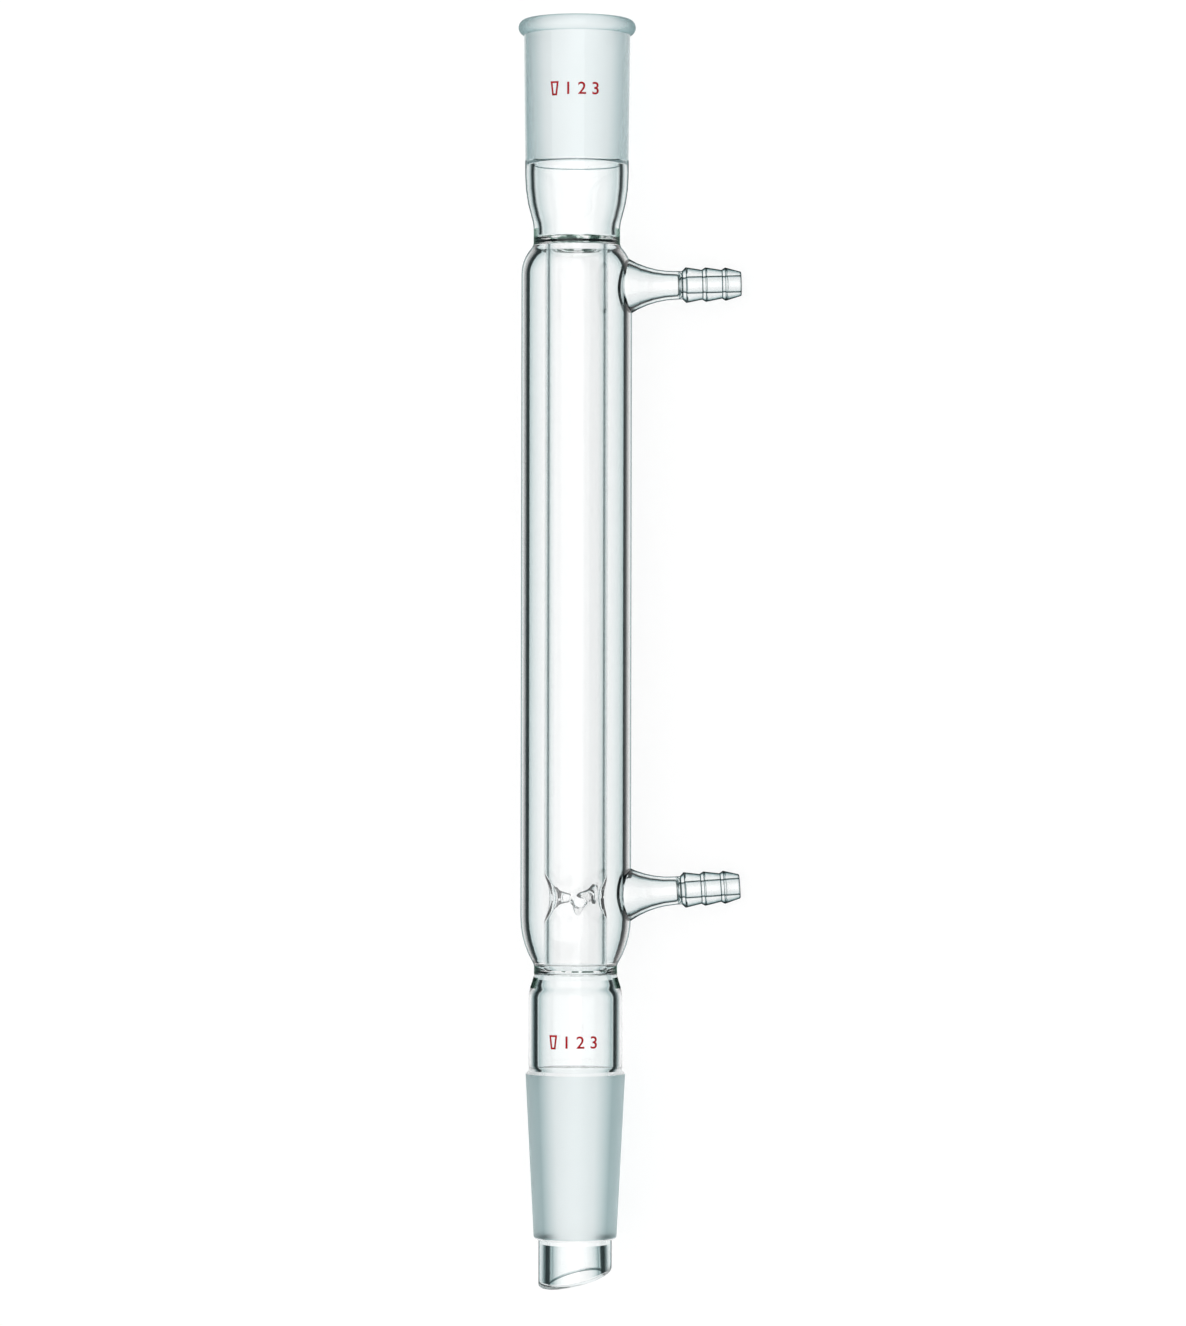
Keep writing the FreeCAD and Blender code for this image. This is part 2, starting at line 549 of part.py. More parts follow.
def lying_rotation(body, sheet):
    """Turn the column so that its bead, its jacket and the end of a port touch the bench."""
    bead = sheet.socket_od / 2 + sheet.bead_stand
    jacket = sheet.jacket_od / 2
    bead_at = rule_value(body, BEAD_MIDDLE)
    pitch = math.atan2(bead - jacket, bead_at - rule_value(body, JACKET_LOW))
    neck_end = rule_value(body, PORT_NECK_END)
    end = rule_value(body, PORT_END)
    rounds = [(end - sheet.port_end_round, sheet.port_end_od / 2 - sheet.port_end_round,
               sheet.port_end_round)]
    for barb in range(int(sheet.barb_count)):
        crest_at = neck_end + barb * sheet.barb_pitch + sheet.barb_rise
        rounds.append((crest_at, (sheet.barb_od - barb * sheet.barb_od_drop) / 2, 0))

    def laid(roll):
        return (Rotation(Vector(1, 0, 0), math.degrees(pitch)) * Rotation(Vector(0, 1, 0), roll)
                * Rotation(Vector(1, 0, 0), -90))

    def clearance(roll):
        up = laid(roll).inverted().multVec(Vector(0, 0, 1))
        bench = up.z * bead_at - bead * math.cos(pitch)
        lowest = []
        for _, height, tilt in PORTS:
            lean = math.radians(rule_value(body, tilt))
            out = Vector(math.cos(lean), 0, math.sin(lean))
            root = Vector(0, 0, rule_value(body, height))
            spread = math.sqrt(1 - up.dot(out) ** 2)
            lowest += [up.dot(root + out * at) - radius * spread - edge for at, radius, edge in rounds]
        return min(lowest) - bench

    low, high = 0.0, 60.0
    for _ in range(50):
        middle = (low + high) / 2
        if clearance(middle) > 0:
            low = middle
        else:
            high = middle
    return laid(low)


def lay_down(body, sheet):
    """Place the column on the bench with the origin under the middle of its box."""
    rotation = lying_rotation(body, sheet)
    turned = body.Tip.Shape.copy()
    turned.Placement = Placement(Vector(), rotation) * turned.Placement
    box = turned.optimalBoundingBox(False, False)
    middle = Vector(box.Center.x, box.Center.y, box.ZMin)
    body.Placement = Placement(-middle, rotation)


def check(doc, body):
    """Stop if any object has failed, or if the glass isn't one sound solid."""
    for item in doc.Objects:
        if "Invalid" in item.State or "Error" in item.State:
            raise RuntimeError(f"{item.Name} failed: {item.State}")
    shape = body.Shape
    if shape.isNull() or not shape.isValid() or len(shape.Solids) != 1:
        raise RuntimeError("the glass isn't one valid solid")
    print(f"{body.Label}: {shape.Volume / 1000:.2f} cm3, {len(shape.Faces)} faces")


def main():
    """Build the column and write its STEP file."""
    doc = FreeCAD.newDocument("distillation_column")
    sheet = make_sheet(doc)
    body = doc.addObject("PartDesign::Body", NODE)
    add_blank(body)
    for name, height, tilt in PORTS:
        add_port(body, name, height, tilt, int(sheet.barb_count))
    cut_bore(body)
    for side in INDENTS:
        add_indent(body, side)
        add_nose(body, side)
    cut_jacket_space(body)
    for side in INDENTS:
        cut_indent(body, side)
    for name, height, tilt in PORTS:
        cut_port_bore(body, name, height, tilt)
    cut_tip(body)
    polish_tip(body, sheet)
    round_bead_root(body, sheet)
    polish_port_ends(body, sheet)
    doc.recompute()
    lay_down(body, sheet)
    doc.recompute()
    check(doc, body)
    os.makedirs("parts", exist_ok=True)
    body.Shape.exportStep(f"parts/{NODE}.step")


main()
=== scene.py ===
import math

import bmesh
import bpy
from bpy.props import (FloatProperty, FloatVectorProperty, IntProperty, PointerProperty,
                       StringProperty)
from bpy.types import Operator, Panel, PropertyGroup
from mathutils import Matrix, Vector


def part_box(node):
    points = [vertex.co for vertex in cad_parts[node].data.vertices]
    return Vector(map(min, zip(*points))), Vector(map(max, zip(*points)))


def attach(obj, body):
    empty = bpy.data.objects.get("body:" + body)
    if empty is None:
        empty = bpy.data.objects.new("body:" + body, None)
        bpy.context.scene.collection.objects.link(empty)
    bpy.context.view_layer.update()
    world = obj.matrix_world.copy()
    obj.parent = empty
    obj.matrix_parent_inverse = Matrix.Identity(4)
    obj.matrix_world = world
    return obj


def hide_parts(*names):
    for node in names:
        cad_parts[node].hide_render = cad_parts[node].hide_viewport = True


bl_info = {
    "name": "Jacketed distillation column",
    "version": (1, 0, 0),
    "blender": (4, 5, 0),
    "location": "3D View > Sidebar > Column",
    "description": "Blows a jacketed glass distillation column and sets it on a pale bench",
    "category": "Object",
}

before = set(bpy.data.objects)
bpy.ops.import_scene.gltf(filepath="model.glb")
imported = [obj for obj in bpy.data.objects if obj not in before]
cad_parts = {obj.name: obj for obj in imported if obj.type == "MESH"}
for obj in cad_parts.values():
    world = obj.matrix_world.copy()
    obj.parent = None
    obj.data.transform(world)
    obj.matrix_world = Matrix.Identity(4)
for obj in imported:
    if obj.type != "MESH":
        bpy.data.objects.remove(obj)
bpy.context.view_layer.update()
NODE = "glass_column"
MILLIMETRE = 0.001

# Finishes of the glass, in the order of the piece's material slots; most of them paint shade and dark
# edge lines into the glass's colour
FINISHES = ("clear_glass", "jacket_glass", "jacket_wall", "inner_tube_wall", "stem_wall",
            "bulb_wall", "tip_wall", "cone_bore", "ground_cone", "ground_socket", "ring_seal",
            "blown_glass", "drawn_glass", "serration_crest", "port_bore", "indent_glass",
            "step_line", "tip_lip", "neck_glass", "neck_shade", "seal_flare", "port_flare",
            "seal_dashes", "rim_bead")
SLOT = {finish: index for index, finish in enumerate(FINISHES)}


def length(label, millimetres, description):
    """Make a length property whose default is given in millimetres."""
    return FloatProperty(name=label, description=description, default=millimetres * MILLIMETRE,
                         min=0.0, precision=5, unit="LENGTH")


def angle(label, degrees, description):
    """Make an angle property whose default is given in degrees."""
    return FloatProperty(name=label, description=description, default=math.radians(degrees),
                         precision=4, unit="ROTATION", subtype="ANGLE")


def srgb(code):
    """Turn an sRGB hex value into a linear colour."""
    parts = [int(code[i:i + 2], 16) / 255 for i in (1, 3, 5)]
    return tuple(c / 12.92 if c <= 0.04045 else ((c + 0.055) / 1.055) ** 2.4 for c in parts)


def tint(label, code, description):
    """Make a colour property whose default is an sRGB hex value."""
    return FloatVectorProperty(name=label, description=description, default=srgb(code),
                               size=3, min=0.0, max=1.0, subtype="COLOR")


class GlassSizes(PropertyGroup):
    """Sizes of the tube glass, from the drip tip up to the rim."""

    tip_length: length("Drip tip", 12.0, "Drip tip below the ground cone")
    tip_od: length("Tip diameter", 17.6, "Outer diameter of the drip tip")
    tip_wall: length("Tip wall", 2.25, "Wall of the drip tip")
    tip_slope: angle("Tip slope", 15.5, "Slope of the cut across the drip tip")
    tip_turn: angle("Tip turn", 35.0, "Turn of the cut's long side towards the front")
    tip_polish: length("Tip polish", 0.7, "Fire-polished rounding at the tip")
    tip_trim: length("Tip trim", 0.3, "Height of the cut's lowest corner before its rounding")
    cone_od: length("Cone diameter", 24.0, "Large diameter of the ground cone")
    cone_end_od: length("Cone end", 20.0, "Small diameter of the ground cone")
    cone_length: length("Cone length", 40.0, "Length of the ground cone")
    cone_wall: length("Cone wall", 2.7, "Wall of the ground cone")
    cone_shoulder: length("Cone shoulder", 0.8, "Step from the cone to the stem")
    stem_od: length("Stem diameter", 22.6, "Outer diameter of the stem")
    stem_wall: length("Stem wall", 1.65, "Wall of the stem")
    stem_length: length("Stem length", 18.0, "Stem from the cone to its neck")
    stem_neck: length("Stem neck", 7.0, "Height over which the stem narrows")
    lower_neck_od: length("Lower neck", 20.0, "Outer diameter at the lower ring seal")
    upper_neck_od: length("Upper neck", 20.8, "Outer diameter at the upper ring seal")
    neck_wall: length("Neck wall", 1.6, "Wall beside the ring seals")
    lower_seal: length("Lower seal", 0.6, "Straight neck at the lower ring seal")
    upper_seal: length("Upper seal", 3.1, "Straight neck at the upper ring seal")
    seal_web: length("Seal web", 1.3, "Glass that closes the jacket space below")
    upper_web: length("Upper web", 0.5, "Glass that closes the jacket space above")
    upper_flare: length("Upper flare", 3.0, "Height over which the inner tube flares above")
    lower_flare: length("Lower flare", 5.0, "Height over which the inner tube flares below")
    seal_round: length("Seal rounding", 0.8, "Rounding at both ends of the jacket space")
    jacket_od: length("Jacket diameter", 26.6, "Outer diameter of the jacket")
    jacket_wall: length("Jacket wall", 1.6, "Wall of the jacket")
    jacket_length: length("Jacket length", 154.8, "Straight length of the jacket")
    lower_shoulder: length("Lower shoulder", 12.0, "Height of the jacket's lower shoulder")
    upper_shoulder: length("Upper shoulder", 7.7, "Height of the jacket's upper shoulder")
    tube_od: length("Tube diameter", 15.2, "Outer diameter of the inner tube")
    tube_wall: length("Tube wall", 0.9, "Wall of the inner tube")
    bulb_od: length("Bulb diameter", 24.9, "Outer diameter of the bulb")
    bulb_wall: length("Bulb wall", 1.7, "Wall of the bulb")
    bulb_shoulder: length("Bulb shoulder", 13.2, "Height over which the neck widens")
    bulb_length: length("Bulb length", 3.3, "Straight length of the bulb")
    bulb_step: length("Bulb step", 1.1, "Step from the bulb to the ground bore")
    socket_bore: length("Socket bore", 24.0, "Bore at the mouth of the socket")
    socket_end_bore: length("Socket end", 20.6, "Bore at the end of the ground zone")
    socket_od: length("Socket diameter", 25.6, "Outer diameter under the rim bead")
    ground_depth: length("Ground depth", 34.0, "Depth of the socket's ground zone")
    bead_stand: length("Bead stand", 1.3, "Height of the rim bead above the socket")
    bead_height: length("Bead height", 3.9, "Thickness of the rim bead")
    mouth_round: length("Mouth rounding", 0.3, "Rounding at the mouth")


class PortSizes(PropertyGroup):
    """Sizes of the serrated hose ports."""

    lower_height: length("Lower port", 4.8, "Lower port above the end of the straight jacket")
    upper_drop: length("Upper port", 3.2, "Upper port below the end of the straight jacket")
    lower_tilt: angle("Lower tilt", 4.0, "Upward tilt of the lower port")
    upper_tilt: angle("Upper tilt", 1.5, "Upward tilt of the upper port")
    root_od: length("Root diameter", 13.4, "Flare where a port leaves the jacket")
    seat: length("Seat", 0.7, "Depth of the flare's end below the jacket's crest")
    flare: length("Flare length", 11.4, "Length of the flare")
    neck_od: length("Neck diameter", 6.8, "Diameter of the neck")
    neck_length: length("Neck length", 1.4, "Length of the neck")
    wall: length("Neck wall", 0.8, "Wall of the neck")
    root_wall: length("Root wall", 1.3, "Wall of the flare at the jacket")
    barbs: IntProperty(name="Serrations", description="Serrations on a port", default=3, min=1)
    pitch: length("Pitch", 4.75, "Distance between the serrations")
    barb_od: length("Crest diameter", 8.6, "Crest of the first serration")
    barb_drop: length("Crest drop", 0.3, "Loss of crest diameter to the next serration")
    barb_fall: length("Serration fall", 0.7, "Fall of a serration's back, on the radius")
    barb_rise: length("Serration rise", 0.9, "Length of a serration's steep face")
    crest_round: length("Crest rounding", 0.25, "Flame-softened rounding of the crests")
    end_od: length("End diameter", 6.0, "Diameter at the end of a port")
    end_round: length("End rounding", 0.4, "Fire-polished rounding at the end")
    bore: length("Bore", 4.0, "Bore through the serrations")
    funnel: length("Funnel", 1.6, "Length over which the neck's bore narrows")


class IndentSizes(PropertyGroup):
    """Sizes of the indents that carry the packing: a shallow dent with a finger in it."""

    height: length("Indent height", 4.8, "Indents above the end of the straight jacket")
    reach: length("Dent reach", 6.2, "Radius of the dent in the tube")
    depth: length("Dent depth", 1.7, "Depth of the dent")
    finger: length("Finger length", 4.25, "Glass finger beyond the dent, in the bore")
    width: length("Finger radius", 1.35, "Radius of the finger where it is half as long")
    hollow: length("Hollow length", 0.3, "Hollow in the finger, open to the jacket space")
    hollow_width: length("Hollow radius", 1.0, "Radius of the hollow where it is half as deep")
    left_turn: angle("Left indent", 168.0, "Direction of the left indent from the ports")
    left_droop: length("Left droop", 0.1, "Droop of the left finger's end")
    left_rise: length("Left rise", 0.0, "Left finger's root above the dent's middle")
    right_turn: angle("Right indent", 25.0, "Direction of the right indent")
    right_droop: length("Right droop", 1.7, "Droop of the right finger's end")
    right_rise: length("Right rise", 1.3, "Right finger's root above the dent's middle")
    front_turn: angle("Front indent", 280.0, "Direction of the front indent")
    front_droop: length("Front droop", 4.0, "Droop of the front finger's end")
    front_share: FloatProperty(name="Front length",
                               description="Front finger's share of the length",
                               default=0.55, min=0.0, max=1.0, subtype="FACTOR")
    front_rise: length("Front rise", 0.2, "Front finger's root above the dent's middle")


class MarkSizes(PropertyGroup):
    """Sizes of the plain mark that is printed on the socket and on the stem."""

    numbers: StringProperty(name="Numbers", description="Plain numbers of the mark",
                            default="1 2 3")
    socket_height: length("Socket mark", 287.9, "Height of the socket's mark above the tip")
    stem_height: length("Stem mark", 60.1, "Height of the stem's mark above the tip")
    digits_height: length("Digit height", 3.0, "Height of the digits")
    digits_width: length("Numbers width", 7.7, "Length of the numbers round the glass")
    digits_aside: length("Numbers aside", 1.5, "Middle of the numbers beside the front")
    sign_height: length("Sign height", 3.4, "Height of the small cone beside the numbers")
    sign_width: length("Sign width", 2.1, "Width of the small cone")
    sign_aside: length("Sign aside", 5.5, "Middle of the small cone on the other side")
    line: length("Line", 0.45, "Width of the small cone's line")
    print: length("Print", 0.04, "Thickness of the baked print")


class ColumnLooks(PropertyGroup):
    """Finish of the glass and of the printed marks, and how the column lies."""

    refraction: FloatProperty(name="Refraction", description="Refractive index of the glass",
                              default=1.47, min=1.0, max=2.5)
    ground_roughness: FloatProperty(name="Ground roughness",
                                    description="Roughness of the ground zones",
                                    default=0.55, min=0.0, max=1.0, subtype="FACTOR")
    # Swirl: the size of the patches of painted dark shade in the ring seals
    swirl: length("Swirl", 2.4, "Width of the swirls in the ring seals")
    mark: tint("Mark", "#AC0A1A", "Baked red of the printed marks")
    mark_shade: tint("Mark shade", "#86040F", "Red where the print is thick")
    pitch: angle("Pitch", 0.21404, "Slope of the lying column up to its rim")
    roll: angle("Roll", 15.37614, "Turn of the lying column down onto a hose port")


class StageSettings(PropertyGroup):
    """Bench, light and camera."""

    backdrop: tint("Bench", "#FFFFFF", "Colour of the bench and the backdrop")
    sky: FloatProperty(name="Sky", description="Strength of the light from all sides",
                       default=0.66, min=0.0)
    # Mirrored and paper make a painted dim reflection: only in the glass's clear mirrors does the
    # bench show white paper near the column, darkening beyond it to this colour, and the sky this
    # colour
    mirrored: tint("Mirrored", "#94A8AA", "What the glass mirrors: the dim room beyond the paper")
    paper: length("Paper", 26.0, "Half the width of the bright paper under the column")
    paper_aside: length("Paper aside", 3.0, "Middle of the paper, away from the ports")
    paper_fade: length("Paper fade", 9.0, "Width over which the paper darkens in mirrors")
    key: FloatProperty(name="Key lamp", description="Power of the large lamp overhead",
                       default=31.0, min=0.0, unit="POWER")
    key_size: length("Key size", 3000.0, "Side of the large lamp")
    shadow: FloatProperty(name="Shadow", description="Share of the bench that takes shade",
                          default=0.3, min=0.0, max=1.0, subtype="FACTOR")
    distance: length("Distance", 1314.0, "Camera to the column's axis")
    aim: length("Aim", 136.9, "Height on the column that the camera faces")
    aside: length("Aside", 4.1, "Camera's offset towards the ports")
    lens: FloatProperty(name="Lens", description="Focal length in millimetres",
                        default=165.6, min=1.0)
    lean: angle("Lean", 0.16, "Lean of the column in the picture")
    rise: FloatProperty(name="Rise", description="Upward shift of the lens",
                        default=0.0489, precision=4)


# Shares of an S-shaped shoulder's height that its first arc takes
EVEN = 0.5
LOWER_SHOULDER = 0.1
UPPER_SHOULDER = 0.8
BULB_SHOULDER = 0.2
LOWER_SPACE = 0.9
UPPER_SPACE = 0.25

# How finely the glass is divided: the turn of an arc's step, the sides of the column and of a
# port, the rings over the indents, the patch round a finger in radii of the finger, and the
# cuts in each edge there
ARC_STEP = math.radians(7)
ROUND = 152
PORT_ROUND = 88
DENT_RINGS = 48
FINE_WALL = 2.0
FINE_CUTS = 2
# Ends of the straight jacket, outside and inside, with more rings for the ports to cut
PORT_ZONE = 18 * MILLIMETRE
SPACE_ZONE = 16 * MILLIMETRE
# What counts as one point, as on a wall and as near a wall, and the turn between two faces
# from which their edge is sharp
WELD = 0.002 * MILLIMETRE
ON_WALL = 0.02 * MILLIMETRE
NEAR_WALL = 0.1 * MILLIMETRE
SHARP = math.radians(32)

# Flat left beside the tip, how far above the cone's top the stem's bore ends and above its
# lower end the cone's bore does, and glass past the tip that the sloping cut takes off
LEDGE = 0.1 * MILLIMETRE
BORE_TOP = 2 * MILLIMETRE
BORE_END = 3.6 * MILLIMETRE
SPARE = 2 * MILLIMETRE

# Indents: their directions, how squarely the sides of a finger and its hollow fall, how soon a finger
# fades in from the rim of its dent, and how near the axis its own finishes, with their painted dark
# edges, begin
SIDES = ("left", "right", "front")
FINGER_SHAPE = 4.5
HOLLOW_SHAPE = 3.2
FINGER_FADE = 3
FINGER_FOOT = 5.0 * MILLIMETRE
DENT_FOOT = 7.3 * MILLIMETRE

# Heights of the finishes round the ring seals, below and above each seal: painted swirls and dashes of
# shade in the seals, and painted green shade on the necks beside them
LOWER_RING = (0.3 * MILLIMETRE, 0.1 * MILLIMETRE)
UPPER_RING = (0.8 * MILLIMETRE, 1.2 * MILLIMETRE)
LOWER_GREEN_SHADE = (1.2 * MILLIMETRE, 1.2 * MILLIMETRE)
UPPER_GREEN_SHADE = (0.8 * MILLIMETRE, 1.8 * MILLIMETRE)
# Dark zone below the lower seal, from its top to its end
NECK_SHADE = (1.9 * MILLIMETRE, 4.4 * MILLIMETRE)
# Thin painted shade lines at the step under the socket and in the valleys of the serrations
STEP_LINE = 0.3 * MILLIMETRE
VALLEY_LINE = 0.16 * MILLIMETRE
# How far a face's normal points along the axis: on the tip's lip, on crests and at port ends, where
# painted dark lines go
LIP = 0.1
CREST_RISE = (-0.5, 0.1)
END_RISE = 0.3

# How far a glass goes from grey as its painted shade darkens it: red, green and blue shares
COOL = (-0.4, 0.0, 0.03)
GREEN = (-0.5, 0.0, -0.2)
CONE_HUE = (-0.5, 0.0, 0.06)
SOCKET_HUE = (-0.75, 0.0, 0.1)
# What glass lets by of a lamp's light onto what lies below
CLEAR_SHADE = (0.95, 0.96, 0.96)
GROUND_SHADE = (0.8, 0.82, 0.82)
SEAL_SHADE = (0.8, 0.9, 0.86)

# Marks: the grain of the print, the step in which it is wrapped, its gap to the glass and the
# width of the small cone below, as a share of its width above
PRINT_GRAIN = 0.5 * MILLIMETRE
WRAP_STEP = 0.5 * MILLIMETRE
PRINT_GAP = 0.005 * MILLIMETRE
CONE_SIGN = 0.6
# In heights of a line of text: extra stroke on each side, and what counts as one corner
PEN = 0.01
LETTER_WELD = 0.003
# A corner stays in place where the ways out of its sides add up to less than this
FOLD = 0.2

# Stage, in metres: half the side of the bench, its gap to the glass and the lamp's place
BENCH = 6.0
BENCH_GAP = 0.00005
LAMP_PLACE = (-0.3, 0.2, 2.0)


class Outline:
    """An outline in the plane of radius and height, drawn by extruding and spinning a vertex."""

    def __init__(self, radius, height):
        self.bm = bmesh.new()
        self.first = self.last = self.bm.verts.new((radius, 0, height))

    def line(self, radius, height, steps=1):
        """Draw a straight run to a new corner."""
        start, end = self.last.co.copy(), Vector((radius, 0, height))
        for step in range(1, steps + 1):
            made = bmesh.ops.extrude_vert_indiv(self.bm, verts=[self.last])
            self.last = made["verts"][0]
            self.last.co = start.lerp(end, step / steps)

    def arc(self, radius, height, size, left):
        """Draw an arc of a given size to a new corner, turning left or right."""
        start, end = self.last.co.copy(), Vector((radius, 0, height))
        chord = end - start
        rise = math.sqrt(max(size ** 2 - chord.length ** 2 / 4, 0))
        side = Vector((-chord.z, 0, chord.x)).normalized() * (rise if left else -rise)
        centre = (start + end) / 2 + side
        swept = 2 * math.asin(min(1, chord.length / 2 / size))
        steps = max(2, math.ceil(swept / ARC_STEP))
        made = bmesh.ops.spin(self.bm, geom=[self.last], cent=centre,
                              axis=(0, -1 if left else 1, 0), angle=swept, steps=steps)
        self.last = next(v for v in made["geom_last"] if isinstance(v, bmesh.types.BMVert))
        self.last.co = end

    def shoulder(self, radius, height, share):
        """Draw an S of two tangent arcs that leaves and arrives along the axis."""
        start = self.last.co.copy()
        step, run = radius - start.x, height - start.z
        size = (step ** 2 + run ** 2) / (2 * abs(step))
        left = step * run < 0
        self.arc(start.x + share * step, start.z + share * run, share * size, left)
        self.arc(radius, height, (1 - share) * size, not left)

    def close(self):
        """Join the last corner to the first."""
        self.bm.edges.new((self.last, self.first))

    def spun(self, steps):
        """Spin the outline a full turn about the axis and weld its seam and poles."""
        bmesh.ops.spin(self.bm, geom=self.bm.verts[:] + self.bm.edges[:], cent=(0, 0, 0),
                       axis=(0, 0, 1), angle=math.tau, steps=steps, use_merge=True)
        bmesh.ops.remove_doubles(self.bm, verts=self.bm.verts[:], dist=WELD)
        return self.bm


def heights(s, d):
    """Work out the stations up the column, tip at zero."""
    class At:
        cone_end = s.tip_length
        cone_top = cone_end + s.cone_length
        stem_top = cone_top + s.stem_length
        lower_seal = stem_top + s.stem_neck
        lower_seal_top = lower_seal + s.lower_seal
        jacket_low = lower_seal_top + s.lower_shoulder
        indents = jacket_low + d.height
        jacket_high = jacket_low + s.jacket_length
        upper_seal = jacket_high + s.upper_shoulder
        bulb_low = upper_seal + s.upper_seal
        bulb_high = bulb_low + s.bulb_shoulder
        ground_end = bulb_high + s.bulb_length
        rim = ground_end + s.ground_depth
        bead_middle = rim - s.bead_height / 2
    return At


def turn_outwards(bm):
    """Turn every face of a closed shape outwards."""
    bmesh.ops.recalc_face_normals(bm, faces=bm.faces[:])
    if bm.calc_volume(signed=True) < 0:
        bmesh.ops.reverse_faces(bm, faces=bm.faces[:])


def faces_out(middle, normal):
    """Tell whether a face looks away from the column's axis."""
    return normal.x * middle.x + normal.y * middle.y > 0


def put(name, data):
    """Add an object to the scene."""
    added = bpy.data.objects.new(name, data)
    bpy.context.scene.collection.objects.link(added)
    return added


def mesh_of(name, bm):
    """Turn a finished shape into a mesh."""
    mesh = bpy.data.meshes.new(name)
    bm.to_mesh(mesh)
    bm.free()
    return mesh


def solid(name, bm, finish_of, place=Matrix()):
    """Finish a closed shape: turn its faces outwards, paint them and put it in its place."""
    turn_outwards(bm)
    for face in bm.faces:
        face.material_index = SLOT[finish_of(face.calc_center_median(), face.normal)]
        face.smooth = True
    bmesh.ops.transform(bm, matrix=place, verts=bm.verts[:])
    piece = put(name, mesh_of(name, bm))
    for finish in FINISHES:
        piece.data.materials.append(bpy.data.materials[finish])
    return piece


